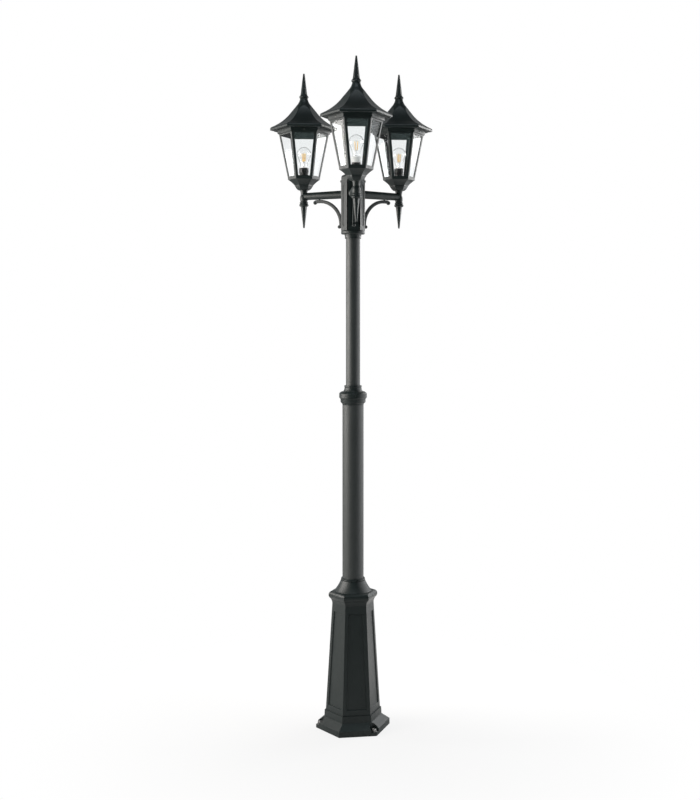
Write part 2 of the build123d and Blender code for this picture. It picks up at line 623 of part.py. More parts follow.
def hub_column_outline():
    """The six-sided column and the flange on its top."""
    Polyline(
        (0, HUB_BODY_FOOT),
        (HUB_FLAT, HUB_BODY_FOOT),
        (HUB_FLAT, HUB_BODY_TOP),
        (HUB_TOP_FLAT, HUB_BODY_TOP),
        (HUB_TOP_FLAT, HUB_TOP),
        (0, HUB_TOP),
        close=True,
    )


hub_column = mitred_hexagon(hub_column_outline)
with BuildPart() as hub:
    add(hub_column)
    # round neck and flange below the column
    with BuildSketch(Plane.XZ):
        with BuildLine():
            flange_foot = (HUB_FLANGE_RADIUS, HUB_NECK_TOP + HUB_FLANGE_CHAMFER)
            flange_head = (HUB_FLANGE_RADIUS, HUB_BODY_FOOT - HUB_FLANGE_ROUND)
            neck_foot = (HUB_NECK_FOOT_RADIUS, HUB_FOOT)
            neck_head = (HUB_NECK_HEAD_RADIUS, HUB_NECK_TOP)
            Line((0, HUB_FOOT), neck_foot)
            SagittaArc(neck_foot, neck_head, HUB_NECK_SAG)
            Polyline(
                neck_head,
                (HUB_FLANGE_RADIUS - HUB_FLANGE_CHAMFER, HUB_NECK_TOP),
                flange_foot,
                flange_head,
            )
            flange_edge = (HUB_FLANGE_RADIUS - HUB_FLANGE_ROUND, HUB_BODY_FOOT)
            SagittaArc(flange_head, flange_edge, -HUB_FLANGE_BULGE)
            Polyline(flange_edge, (0, HUB_BODY_FOOT), (0, HUB_FOOT))
        make_face()
    revolve(axis=Axis.Z)
    # socket for the tube, ledge on its end, and the wiring space above it
    with BuildSketch(Plane.XY.offset(HUB_FOOT)):
        Circle(UPPER_BORE)
    extrude(amount=HUB_SOCKET_DEPTH, mode=Mode.SUBTRACT)
    with BuildSketch(Plane.XY.offset(UPPER_TUBE_TOP)):
        Circle(UPPER_TUBE_RADIUS - TUBE_LEDGE)
    extrude(amount=TUBE_LEDGE, mode=Mode.SUBTRACT)
    with BuildSketch(Plane.XY.offset(HUB_CAVITY_FLOOR)):
        Circle(HUB_CAVITY_RADIUS)
    extrude(amount=HUB_TOP - HUB_CAVITY_FLOOR, mode=Mode.SUBTRACT)
    # the shelf across the wiring space
    with BuildSketch(Plane.XY.offset(WIRE_SHELF)):
        Rectangle(2 * (HUB_CAVITY_RADIUS + CUT_OVERRUN), WIRE_SHELF_WIDTH)
    extrude(amount=WIRE_SHELF_THICKNESS)
    # a deep groove with a flared mouth down each corner
    for corner in CORNERS:
        with BuildSketch(Plane((0, 0, HUB_BODY_FOOT), x_dir=heading(corner), z_dir=(0, 0, 1))):
            Polygon(
                (GROOVE_FLOOR_RADIUS, -GROOVE_WIDTH / 2),
                (HUB_CORNER - GROOVE_MOUTH_DEPTH, -GROOVE_WIDTH / 2),
                (HUB_CORNER, -GROOVE_MOUTH / 2),
                (HUB_CORNER, GROOVE_MOUTH / 2),
                (HUB_CORNER - GROOVE_MOUTH_DEPTH, GROOVE_WIDTH / 2),
                (GROOVE_FLOOR_RADIUS, GROOVE_WIDTH / 2),
                align=None,
            )
        extrude(amount=HUB_HEIGHT, mode=Mode.SUBTRACT)
    # a round-ended flute in each face
    for facet in FACETS:
        with BuildSketch(facet_plane(facet, FLUTE_LOW, FLUTE_HIGH)):
            SlotOverall(FLUTE_LENGTH, FLUTE_WIDTH, rotation=90)
        extrude(amount=-FLUTE_DEPTH, mode=Mode.SUBTRACT)
    for angle in ARM_DIRECTIONS.values():
        add(radial_rod(angle, ARM_LEVEL, 0, HUB_CORNER, ARM_SPIGOT_RADIUS + FIT), mode=Mode.SUBTRACT)
        add(radial_rod(angle, SCROLL_PAD_LEVEL, PEG_END, HUB_CORNER, PEG_HOLE), mode=Mode.SUBTRACT)
    for angle in SET_SCREW_DIRECTIONS:
        hole_end = HUB_NECK_HEAD_RADIUS + CUT_OVERRUN
        add(
            radial_rod(angle, HUB_SCREW_LEVEL, UPPER_TUBE_RADIUS, hole_end, HUB_SCREW_HOLE),
            mode=Mode.SUBTRACT,
        )

with BuildPart() as hub_screws:
    for angle in SET_SCREW_DIRECTIONS:
        add(radial_rod(angle, HUB_SCREW_LEVEL, UPPER_BORE, HUB_NECK_FOOT_RADIUS, HUB_SCREW_RADIUS))


# ---------------------------------------------------------------- hub lid and terminal block
def lid_outline():
    """A rim, a rounded shoulder and a low dome."""
    rim_head = (LID_FLAT, HUB_TOP + LID_RIM_HEIGHT)
    shoulder_head = (LID_SHOULDER_FLAT, rim_head[1] + LID_SHOULDER_HEIGHT)
    dome_head = (0, shoulder_head[1] + LID_DOME_HEIGHT)
    Polyline((0, HUB_TOP), (LID_FLAT, HUB_TOP), rim_head)
    SagittaArc(rim_head, shoulder_head, -LID_SHOULDER_BULGE)
    SagittaArc(shoulder_head, dome_head, -LID_DOME_BULGE)
    Line(dome_head, (0, HUB_TOP))


lid_body = mitred_hexagon(lid_outline)
with BuildPart() as hub_lid:
    add(lid_body)
    with BuildSketch(Plane.XY.offset(HUB_TOP)):
        Circle(HUB_CAVITY_RADIUS - FIT)
    extrude(amount=-LID_PLUG_LENGTH)
    with BuildSketch(Plane.XY.offset(HUB_TOP - LID_PLUG_LENGTH)):
        Circle(HUB_CAVITY_RADIUS - FIT - LID_PLUG_WALL)
    extrude(amount=LID_PLUG_LENGTH + LID_RIM_HEIGHT, mode=Mode.SUBTRACT)

with BuildPart(Plane.XY.offset(WIRE_SHELF + WIRE_SHELF_THICKNESS)) as terminal_block:
    Box(
        TERMINAL_LENGTH,
        TERMINAL_WIDTH,
        TERMINAL_HEIGHT,
        align=(Align.CENTER, Align.CENTER, Align.MIN),
    )
    with BuildSketch(Plane.XZ.offset(TERMINAL_WIDTH / 2)):
        with Locations((0, WIRE_SHELF + WIRE_SHELF_THICKNESS + TERMINAL_HEIGHT / 2)):
            with GridLocations(TERMINAL_LENGTH / TERMINAL_POLES, 1, TERMINAL_POLES, 1):
                Circle(TERMINAL_HOLE_RADIUS)
    extrude(amount=-TERMINAL_WIDTH, mode=Mode.SUBTRACT)


# ---------------------------------------------------------------- arm, drawn along +X
NIPPLE_HOLE = NIPPLE_RADIUS + FIT
STUD_HOLE = STUD_RADIUS + FIT
ARM_AXIS = Plane(origin=(0, 0, ARM_LEVEL), x_dir=(1, 0, 0), z_dir=(0, -1, 0))
CARRIER_PLANE = Plane(origin=(ARM_REACH, 0, 0), x_dir=(1, 0, 0), z_dir=(0, -1, 0))
NIPPLE_FOOT = CARRIER_TOP - NIPPLE_GRIP
with BuildPart() as arm:
    # the upright carrier at the arm's end
    with BuildSketch(CARRIER_PLANE):
        with BuildLine():
            carrier_neck = (CARRIER_NECK_RADIUS, ARM_LEVEL + CARRIER_NECK_RISE)
            carrier_boss = (CARRIER_BOSS_RADIUS, (ARM_LEVEL + CARRIER_FOOT) / 2)
            Line((0, CARRIER_TOP), (CARRIER_TOP_RADIUS, CARRIER_TOP))
            SagittaArc((CARRIER_TOP_RADIUS, CARRIER_TOP), carrier_neck, -CARRIER_SAG)
            ThreePointArc(carrier_neck, carrier_boss, (CARRIER_FOOT_RADIUS, CARRIER_FOOT))
            Polyline((CARRIER_FOOT_RADIUS, CARRIER_FOOT), (0, CARRIER_FOOT), (0, CARRIER_TOP))
        make_face()
    revolve(axis=Axis((ARM_REACH, 0, 0), (0, 0, 1)))
    # the tapered tube, its flange against the hub and the spigot inside the hub
    with BuildSketch(ARM_AXIS):
        with BuildLine():
            Polyline(
                (HUB_FLAT - ARM_SPIGOT_LENGTH, 0),
                (HUB_FLAT - ARM_SPIGOT_LENGTH, ARM_SPIGOT_RADIUS),
                (HUB_FLAT, ARM_SPIGOT_RADIUS),
                (HUB_FLAT, ARM_FLANGE_RADIUS),
                (HUB_FLAT + ARM_FLANGE_THICKNESS, ARM_FLANGE_RADIUS),
                (HUB_FLAT + 2 * ARM_FLANGE_THICKNESS, ARM_HUB_RADIUS),
                (ARM_REACH, ARM_END_RADIUS),
                (ARM_REACH, 0),
                close=True,
            )
        make_face()
    revolve(axis=Axis((0, 0, ARM_LEVEL), (1, 0, 0)))
    # wire way: along the arm, then up through the carrier into the nipple
    add(radial_rod(0, ARM_LEVEL, 0, ARM_REACH, ARM_BORE_RADIUS), mode=Mode.SUBTRACT)
    with BuildSketch(Plane((ARM_REACH, 0, ARM_LEVEL))):
        Circle(NIPPLE_BORE_RADIUS)
    extrude(amount=CARRIER_ABOVE_ARM, mode=Mode.SUBTRACT)
    with BuildSketch(Plane((ARM_REACH, 0, NIPPLE_FOOT))):
        Circle(NIPPLE_HOLE)
    extrude(amount=NIPPLE_GRIP, mode=Mode.SUBTRACT)
    with BuildSketch(Plane((ARM_REACH, 0, CARRIER_FOOT))):
        Circle(STUD_HOLE)
    extrude(amount=DROP_STUD_LENGTH + FIT, mode=Mode.SUBTRACT)
    with BuildSketch(Plane((SCROLL_ARC_CENTRE, 0, SCROLL_TOP))):
        Circle(PEG_HOLE)
    extrude(amount=SCROLL_THICKNESS / 2 + SCROLL_ARM_GAP + SCROLL_PEG_LENGTH + FIT, mode=Mode.SUBTRACT)

# ---------------------------------------------------------------- scroll under the arm, along +X
with BuildPart() as scroll:
    with BuildLine(Plane.XZ) as scroll_line:
        arc_foot = (SCROLL_ARC_CENTRE - SCROLL_ARC_RADIUS, SCROLL_ARC_LEVEL)
        low_curl = JernArc(arc_foot, (0, -1), SCROLL_LOW_CURL_RADIUS, SCROLL_LOW_CURL_TURN)
        JernArc(arc_foot, (0, 1), SCROLL_ARC_RADIUS, -90)
        run = Line((SCROLL_ARC_CENTRE, SCROLL_TOP), (SCROLL_ARC_CENTRE + SCROLL_RUN, SCROLL_TOP))
        top_curl = JernArc(run @ 1, (1, 0), SCROLL_TOP_CURL_RADIUS, -SCROLL_TOP_CURL_TURN)
    with BuildSketch(Plane(origin=low_curl @ 1, x_dir=(0, 1, 0), z_dir=low_curl % 1)):
        RectangleRounded(SCROLL_WIDTH, SCROLL_THICKNESS, SCROLL_CORNER_RADIUS)
    sweep(path=scroll_line.wires()[0])
    with Locations(low_curl @ 1):
        Sphere(SCROLL_LOW_BALL_RADIUS)
    with Locations(top_curl @ 1):
        Sphere(SCROLL_TOP_BALL_RADIUS)
    # the pad and peg against the hub, and the peg into the arm
    pad_inner = HUB_FLAT - FLUTE_DEPTH
    pad_outer = SCROLL_ARC_CENTRE - SCROLL_ARC_RADIUS
    add(radial_rod(0, SCROLL_PAD_LEVEL, pad_inner, pad_outer, SCROLL_PAD_RADIUS))
    add(radial_rod(0, SCROLL_PAD_LEVEL, pad_inner - SCROLL_PEG_LENGTH, pad_outer, SCROLL_PEG_RADIUS))
    with BuildSketch(Plane((SCROLL_ARC_CENTRE, 0, SCROLL_TOP))):
        Circle(SCROLL_PEG_RADIUS)
    extrude(amount=SCROLL_THICKNESS / 2 + SCROLL_ARM_GAP + SCROLL_PEG_LENGTH)

# ---------------------------------------------------------------- pendant, about its own axis
pendant_spike = hexagonal_spike(DROP_SPIKE_FLAT, SPIKE_TIP_FLAT, DROP_RING_FOOT, DROP_TIP)
with BuildPart() as pendant:
    with BuildSketch(Plane.XZ):
        with BuildLine():
            stud_top = CARRIER_FOOT + DROP_STUD_LENGTH
            bead_middle = (BEAD_RING_RADIUS, CARRIER_FOOT - BEAD_RING_HEIGHT / 2)
            ring_middle = (DROP_RING_RADIUS, (DROP_RING_TOP + DROP_RING_FOOT) / 2)
            Polyline((0, stud_top), (STUD_RADIUS, stud_top), (STUD_RADIUS, CARRIER_FOOT))
            Line((STUD_RADIUS, CARRIER_FOOT), (BEAD_EDGE_RADIUS, CARRIER_FOOT))
            waist = (BEAD_EDGE_RADIUS, DROP_RING_TOP)
            ring_foot = (BEAD_EDGE_RADIUS, DROP_RING_FOOT)
            ThreePointArc((BEAD_EDGE_RADIUS, CARRIER_FOOT), bead_middle, waist)
            ThreePointArc(waist, ring_middle, ring_foot)
            Polyline(ring_foot, (0, DROP_RING_FOOT), (0, stud_top))
        make_face()
    revolve(axis=Axis.Z)
    add(pendant_spike)


# ---------------------------------------------------------------- bowl
def bowl_outline():
    """A small cup, a step and a wide flare."""
    cup_foot = (CUP_FOOT_FLAT, CARRIER_TOP)
    cup_head = (CUP_HEAD_FLAT, CUP_TOP)
    flare_foot = (CUP_HEAD_FLAT + CUP_STEP, FLARE_FOOT)
    flare_head = (FLARE_HEAD_FLAT, CAGE_FOOT)
    Line((0, CARRIER_TOP), cup_foot)
    SagittaArc(cup_foot, cup_head, -CUP_BULGE)
    Polyline(cup_head, (CUP_HEAD_FLAT + CUP_STEP, CUP_TOP), flare_foot)
    SagittaArc(flare_foot, flare_head, FLARE_SAG)
    Polyline(flare_head, (0, CAGE_FOOT), (0, CARRIER_TOP))


def bowl_hollow_outline():
    """The inside of the cup and the flare."""
    Polyline(
        (0, CARRIER_TOP + CUP_FLOOR),
        (CUP_FOOT_FLAT - CUP_FOOT_WALL, CARRIER_TOP + CUP_FLOOR),
        (CUP_HEAD_FLAT - CAST_WALL, CUP_TOP),
        (CUP_HEAD_FLAT + CUP_STEP - CAST_WALL, FLARE_FOOT),
        (FLARE_HEAD_FLAT - FLARE_WALL, CAGE_FOOT),
        (0, CAGE_FOOT),
        close=True,
    )


bowl_body = mitred_hexagon(bowl_outline)
bowl_hollow = mitred_hexagon(bowl_hollow_outline)
with BuildPart() as bowl:
    add(bowl_body)
    add(bowl_hollow, mode=Mode.SUBTRACT)
    with BuildSketch(Plane.XY.offset(CARRIER_TOP)):
        Circle(NIPPLE_HOLE)
    extrude(amount=CUP_FLOOR, mode=Mode.SUBTRACT)

# ---------------------------------------------------------------- cage and panes
CAGE_DRAFT = (CAGE_HEAD_FLAT - CAGE_FOOT_FLAT) / CAGE_BAR_LENGTH
CAGE_TILT = CAGE_DRAFT / hypot(1, CAGE_DRAFT)
BAR_WALL = CAST_WALL * hypot(1, CAGE_DRAFT)


def bar_point(level):
    """Where the outside of the bars is at this level, as (flat, level)."""
    return (CAGE_FOOT_FLAT + CAGE_DRAFT * (level - BAR_FOOT), level)


def cage_outline():
    """Foot rail, bars, head band and spigot."""
    Polyline(
        (0, CAGE_FOOT),
        (CAGE_RAIL_FLAT, CAGE_FOOT),
        (CAGE_FOOT_FLAT, BAR_FOOT),
        (CAGE_HEAD_FLAT, BAR_TOP),
        (CAGE_BAND_FLAT, BAR_TOP),
        (CAGE_BAND_FLAT, BAND_TOP),
        (CAGE_SPIGOT_FLAT, BAND_TOP),
        (CAGE_SPIGOT_FLAT, CAGE_TOP),
        (0, CAGE_TOP),
        close=True,
    )


def cage_hollow_outline():
    """The lamp space, with the floor that the panes stand on and the ledge above them."""
    Polyline(
        (0, CAGE_FOOT),
        (CAGE_FLOOR_FLAT, CAGE_FOOT),
        (CAGE_FLOOR_FLAT, CAGE_FLOOR),
        (CAGE_FOOT_FLAT - BAR_WALL, CAGE_FLOOR),
        (CAGE_FOOT_FLAT - BAR_WALL, BAR_FOOT),
        (CAGE_HEAD_FLAT - BAR_WALL, BAR_TOP),
        (CAGE_BAND_INNER_FLAT, BAR_TOP),
        (CAGE_BAND_INNER_FLAT, CAGE_LEDGE),
        (CAGE_SPIGOT_INNER_FLAT, CAGE_LEDGE),
        (CAGE_SPIGOT_INNER_FLAT, CAGE_TOP),
        (0, CAGE_TOP),
        close=True,
    )


cage_body = mitred_hexagon(cage_outline)
cage_hollow = mitred_hexagon(cage_hollow_outline)
WINDOW_LOW = bar_point(BAR_FOOT + WINDOW_END_MARGIN)
WINDOW_HIGH = bar_point(BAR_TOP - WINDOW_END_MARGIN)
with BuildPart() as cage:
    add(cage_body)
    add(cage_hollow, mode=Mode.SUBTRACT)
    for facet in FACETS:
        with BuildSketch(facet_plane(facet, WINDOW_LOW, WINDOW_HIGH)):
            facet_sheet(WINDOW_LOW, WINDOW_HIGH, CAGE_BAR_LEG)
        extrude(amount=2 * CAST_WALL, both=True, mode=Mode.SUBTRACT)

# the panes lean against the inside of the bars, between the floor and the ledge
PANE_LOW = bar_point(CAGE_FLOOR + PANE_END_GAP - CAST_WALL * CAGE_TILT)
PANE_HIGH = bar_point(CAGE_LEDGE - PANE_END_GAP - (CAST_WALL + PANE_THICKNESS) * CAGE_TILT)
with BuildPart() as panes:
    for facet in FACETS:
        with BuildSketch(facet_plane(facet, PANE_LOW, PANE_HIGH, CAST_WALL)):
            facet_sheet(PANE_LOW, PANE_HIGH, PANE_SIDE_MARGIN)
        extrude(amount=-PANE_THICKNESS)

with BuildPart() as gasket:
    with BuildSketch(Plane.XY.offset(CAGE_TOP)):
        RegularPolygon(CAGE_SPIGOT_FLAT - FIT, 6, major_radius=False)
        RegularPolygon(CAGE_SPIGOT_FLAT - FIT - GASKET_WIDTH, 6, major_radius=False, mode=Mode.SUBTRACT)
    extrude(amount=GASKET_THICKNESS)

# ---------------------------------------------------------------- roof
SKIRT_INNER_FLAT = SKIRT_FLAT - SKIRT_WALL
ROOF_LOW = (EAVE_FLAT - EAVE_ROUND, ROOF_FOOT)
ROOF_HIGH = (ROOF_HEAD_FLAT, ROOF_TOP)
ROOF_RUN = ROOF_LOW[0] - ROOF_HIGH[0]
ROOF_CHORD = hypot(ROOF_RUN, ROOF_HEIGHT)
ROOF_ARC_RADIUS = (ROOF_CHORD**2 / 4 + ROOF_SAG**2) / (2 * ROOF_SAG)
ROOF_ARC_OUT = (ROOF_ARC_RADIUS - ROOF_SAG) / ROOF_CHORD
ROOF_ARC_FLAT = (ROOF_LOW[0] + ROOF_HIGH[0]) / 2 + ROOF_ARC_OUT * ROOF_HEIGHT
ROOF_ARC_LEVEL = (ROOF_LOW[1] + ROOF_HIGH[1]) / 2 + ROOF_ARC_OUT * ROOF_RUN
ROOF_HOLLOW_TOP = ROOF_TOP - ROOF_CROWN_THICKNESS


def roof_flat(level, wall=0.0):
    """How far the roof's arc, or the arc a wall inside it, is from the axis at this level."""
    return ROOF_ARC_FLAT - sqrt((ROOF_ARC_RADIUS + wall) ** 2 - (ROOF_ARC_LEVEL - level) ** 2)


def roof_level(flat, wall=0.0):
    """How high the roof's arc, or the arc a wall inside it, is at this distance from the axis."""
    return ROOF_ARC_LEVEL - sqrt((ROOF_ARC_RADIUS + wall) ** 2 - (ROOF_ARC_FLAT - flat) ** 2)


def roof_outline():
    """Skirt, soffit, eave and the hollow curve up to the crown."""
    middle = (ROOF_LOW[1] + ROOF_TOP) / 2
    Polyline(
        (0, SKIRT_FOOT),
        (SKIRT_FLAT, SKIRT_FOOT),
        (SKIRT_FLAT, SOFFIT),
        (EAVE_FLAT - EAVE_CHAMFER, EAVE_FOOT),
        (EAVE_FLAT, EAVE_FOOT + EAVE_CHAMFER),
        (EAVE_FLAT, EAVE_TOP),
    )
    SagittaArc((EAVE_FLAT, EAVE_TOP), ROOF_LOW, -EAVE_BULGE)
    ThreePointArc(ROOF_LOW, (roof_flat(middle), middle), ROOF_HIGH)
    Polyline(ROOF_HIGH, (0, ROOF_TOP), (0, SKIRT_FOOT))


def roof_hollow_outline():
    """Inside the skirt, over the ledge that rests on the seal, and under the roof."""
    soffit_top = SOFFIT + SOFFIT_THICKNESS
    low = (ROOF_HOLLOW_FLAT, roof_level(ROOF_HOLLOW_FLAT, ROOF_WALL))
    middle = (low[1] + ROOF_HOLLOW_TOP) / 2
    high = (roof_flat(ROOF_HOLLOW_TOP, ROOF_WALL), ROOF_HOLLOW_TOP)
    Polyline(
        (0, SKIRT_FOOT),
        (SKIRT_INNER_FLAT, SKIRT_FOOT),
        (SKIRT_INNER_FLAT, ROOF_LEDGE),
        (LEDGE_INNER_FLAT, ROOF_LEDGE),
        (LEDGE_INNER_FLAT, soffit_top),
        (ROOF_HOLLOW_FLAT, soffit_top),
        low,
    )
    ThreePointArc(low, (roof_flat(middle, ROOF_WALL), middle), high)
    Polyline(high, (0, ROOF_HOLLOW_TOP), (0, SKIRT_FOOT))


roof_body = mitred_hexagon(roof_outline)
roof_hollow = mitred_hexagon(roof_hollow_outline)
with BuildPart() as roof:
    add(roof_body)
    add(roof_hollow, mode=Mode.SUBTRACT)
    # a round cone takes off the corners at the crown and leaves an arch at the head of each facet
    with BuildSketch(Plane.XZ):
        with BuildLine():
            cone_foot = (CROWN_CONE_FOOT_RADIUS, ROOF_TOP - CROWN_CONE_FOOT_DROP)
            cone_waist = (CROWN_CONE_WAIST_RADIUS, ROOF_TOP - CROWN_CONE_WAIST_DROP)
            past_corner = EAVE_FLAT / cos(pi / 6) + CUT_OVERRUN
            Polyline(
                (0, ROOF_TOP),
                (0, SKIRT_FOOT),
                (past_corner, SKIRT_FOOT),
                (past_corner, cone_foot[1]),
                cone_foot,
            )
            ThreePointArc(cone_foot, cone_waist, (ROOF_CROWN_RADIUS, ROOF_TOP))
            Line((ROOF_CROWN_RADIUS, ROOF_TOP), (0, ROOF_TOP))
        make_face()
    revolve(axis=Axis.Z, mode=Mode.INTERSECT)
    with BuildSketch(Plane.XY.offset(ROOF_HOLLOW_TOP)):
        Circle(STUD_HOLE)
    extrude(amount=ROOF_CROWN_THICKNESS, mode=Mode.SUBTRACT)
    for angle in ROOF_SCREW_DIRECTIONS:
        hole_end = SKIRT_FLAT + CUT_OVERRUN
        add(
            radial_rod(angle, ROOF_SCREW_LEVEL, LEDGE_INNER_FLAT, hole_end, ROOF_SCREW_RADIUS + FIT),
            mode=Mode.SUBTRACT,
        )

with BuildPart() as roof_screws:
    for angle in ROOF_SCREW_DIRECTIONS:
        screw_end = CAGE_SPIGOT_FLAT + SEAT_GAP
        head_face = SKIRT_FLAT + ROOF_SCREW_HEAD_HEIGHT
        add(radial_rod(angle, ROOF_SCREW_LEVEL, screw_end, SKIRT_FLAT, ROOF_SCREW_RADIUS))
        add(radial_rod(angle, ROOF_SCREW_LEVEL, SKIRT_FLAT, head_face, ROOF_SCREW_HEAD_RADIUS))

# ---------------------------------------------------------------- roof cap and finial
with BuildPart() as roof_cap:
    with BuildSketch(Plane.XZ):
        with BuildLine():
            cap_foot = (ROOF_CROWN_RADIUS, ROOF_TOP)
            cap_head = (CAP_HEAD_RADIUS, CAP_TOP)
            hollow_foot = (ROOF_CROWN_RADIUS - CAP_WALL, ROOF_TOP)
            hollow_head = (CAP_HEAD_RADIUS - CAP_WALL, CAP_TOP - CAP_WALL)
            SagittaArc(cap_foot, cap_head, CAP_SAG)
            Polyline(cap_head, (STUD_HOLE, CAP_TOP), (STUD_HOLE, CAP_TOP - CAP_WALL), hollow_head)
            SagittaArc(hollow_head, hollow_foot, -CAP_SAG)
            Line(hollow_foot, cap_foot)
        make_face()
    revolve(axis=Axis.Z)

finial_spike = hexagonal_spike(FINIAL_SPIKE_FLAT, SPIKE_TIP_FLAT, FINIAL_RING_TOP, FINIAL_TOP)
with BuildPart() as finial:
    with BuildSketch(Plane.XZ):
        with BuildLine():
            stud_foot = ROOF_HOLLOW_TOP - FINIAL_STUD_END
            ring_head = (FINIAL_RING_NECK_RADIUS, FINIAL_RING_TOP - FINIAL_STEP_HEIGHT)
            ring_middle = (FINIAL_RING_RADIUS, (CAP_TOP + ring_head[1]) / 2)
            step_head = (FINIAL_STEP_RADIUS, FINIAL_RING_TOP)
            Polyline((0, stud_foot), (STUD_RADIUS, stud_foot), (STUD_RADIUS, CAP_TOP))
            Line((STUD_RADIUS, CAP_TOP), (FINIAL_RING_NECK_RADIUS, CAP_TOP))
            ThreePointArc((FINIAL_RING_NECK_RADIUS, CAP_TOP), ring_middle, ring_head)
            Polyline(ring_head, step_head, (0, FINIAL_RING_TOP), (0, stud_foot))
        make_face()
    revolve(axis=Axis.Z)
    add(finial_spike)

# ---------------------------------------------------------------- lampholder, its ring and nipple
HOLDER_BORE = BULB_CAP_RADIUS + THREAD_CLEARANCE
NIPPLE_TOP = HOLDER_FOOT + HOLDER_SOCKET_DEPTH
with BuildPart() as lampholder:
    with BuildSketch(Plane.XZ):
        with BuildLine():
            Polyline(
                (0, NIPPLE_TOP),
                (NIPPLE_HOLE, NIPPLE_TOP),
                (NIPPLE_HOLE, HOLDER_FOOT),
                (HOLDER_BODY_RADIUS - HOLDER_CHAMFER, HOLDER_FOOT),
                (HOLDER_BODY_RADIUS, HOLDER_FOOT + HOLDER_CHAMFER),
                (HOLDER_BODY_RADIUS, HOLDER_SHOULDER),
                (HOLDER_NECK_RADIUS, HOLDER_SHOULDER),
                (HOLDER_NECK_RADIUS, HOLDER_TOP),
                (HOLDER_BORE, HOLDER_TOP),
                (HOLDER_BORE, CONTACT_FOOT),
                (0, CONTACT_FOOT),
                close=True,
            )
        make_face()
    revolve(axis=Axis.Z)

with BuildPart() as holder_ring:
    with BuildSketch(Plane.XZ):
        with BuildLine():
            ring_bore = HOLDER_NECK_RADIUS + FIT
            Polyline(
                (ring_bore, HOLDER_SHOULDER),
                (HOLDER_RING_RADIUS, HOLDER_SHOULDER),
                (HOLDER_RING_RADIUS, RING_TOP),
                (HOLDER_LIP_RADIUS, RING_TOP),
                (HOLDER_LIP_RADIUS, HOLDER_TOP + FIT),
                (ring_bore, HOLDER_TOP + FIT),
                close=True,
            )
        make_face()
    revolve(axis=Axis.Z)

with BuildPart(Plane.XY.offset(NIPPLE_FOOT)) as nipple:
    Cylinder(NIPPLE_RADIUS, NIPPLE_TOP - NIPPLE_FOOT, align=(Align.CENTER, Align.CENTER, Align.MIN))
    with BuildSketch(Plane.XY.offset(NIPPLE_FOOT)):
        Circle(NIPPLE_BORE_RADIUS)
    extrude(amount=NIPPLE_TOP - NIPPLE_FOOT, mode=Mode.SUBTRACT)

# ---------------------------------------------------------------- bulb
with BuildPart() as bulb_cap:
    with BuildSketch(Plane.XZ):
        with BuildLine():
            Polyline(
                (0, CONTACT_FOOT),
                (BULB_CONTACT_RADIUS, CONTACT_FOOT),
                (BULB_CAP_RADIUS - BULB_CAP_CHAMFER, BULB_CAP_FOOT),
                (BULB_CAP_RADIUS, BULB_CAP_FOOT + BULB_CAP_CHAMFER),
                (BULB_CAP_RADIUS, BULB_FOOT),
                (0, BULB_FOOT),
                close=True,
            )
        make_face()
    revolve(axis=Axis.Z)


def bulb_outline(wall):
    """Neck, throat and round crown of the bulb, or of its inside."""
    radius = BULB_RADIUS - wall
    centre = BULB_TOP - BULB_RADIUS
    throat = (BULB_THROAT_RADIUS - wall, BULB_THROAT)
    drop = centre - BULB_THROAT
    touch_angle = acos(radius / hypot(throat[0], drop)) - atan2(drop, throat[0])
    touch = (radius * cos(touch_angle), centre + radius * sin(touch_angle))
    crown_angle = (touch_angle + pi / 2) / 2
    crown = (radius * cos(crown_angle), centre + radius * sin(crown_angle))
    Polyline((0, BULB_FOOT), (BULB_NECK_RADIUS - wall, BULB_FOOT), throat, touch)
    ThreePointArc(touch, crown, (0, centre + radius))
    Line((0, centre + radius), (0, BULB_FOOT))


with BuildPart() as bulb:
    for wall, mode in ((0, Mode.ADD), (BULB_WALL, Mode.SUBTRACT)):
        with BuildSketch(Plane.XZ):
            with BuildLine():
                bulb_outline(wall)
            make_face()
        revolve(axis=Axis.Z, mode=mode)

STEM_TOP = BULB_FOOT + MOUNT_STEM_LENGTH
DISC_RADIUS = FILAMENT_CIRCLE_RADIUS + FILAMENT_RADIUS + FILAMENT_DISC_MARGIN
RING_HOLE = FILAMENT_CIRCLE_RADIUS - FILAMENT_RADIUS - FILAMENT_DISC_MARGIN
with BuildPart(Plane.XY.offset(BULB_FOOT)) as filament:
    Cylinder(MOUNT_STEM_RADIUS, MOUNT_STEM_LENGTH, align=(Align.CENTER, Align.CENTER, Align.MIN))
    with BuildSketch(Plane.XY.offset(STEM_TOP)):
        Circle(DISC_RADIUS)
    extrude(amount=FILAMENT_DISC_THICKNESS)
    with BuildSketch(Plane.XY.offset(STEM_TOP + FILAMENT_LENGTH)):
        Circle(DISC_RADIUS)
        Circle(RING_HOLE, mode=Mode.SUBTRACT)
    extrude(amount=FILAMENT_DISC_THICKNESS)
    with BuildSketch(Plane.XY.offset(STEM_TOP)):
        with PolarLocations(FILAMENT_CIRCLE_RADIUS, FILAMENT_COUNT):
            Circle(FILAMENT_RADIUS)
    extrude(amount=FILAMENT_LENGTH)

# ---------------------------------------------------------------- every piece in its place
os.makedirs("parts", exist_ok=True)

POST_PIECES = {
    "pedestal": pedestal,
    "pedestal_screws": pedestal_screws,
    "bell_collar": bell_collar,
    "lower_tube": lower_tube,
    "collar": collar,
    "collar_screws": collar_screws,
    "upper_tube": upper_tube,
    "hub": hub,
    "hub_screws": hub_screws,
    "hub_lid": hub_lid,
    "terminal_block": terminal_block,
}
for name, piece in POST_PIECES.items():
    piece.part.label = name
    export_step(piece.part, f"parts/{name}.step")

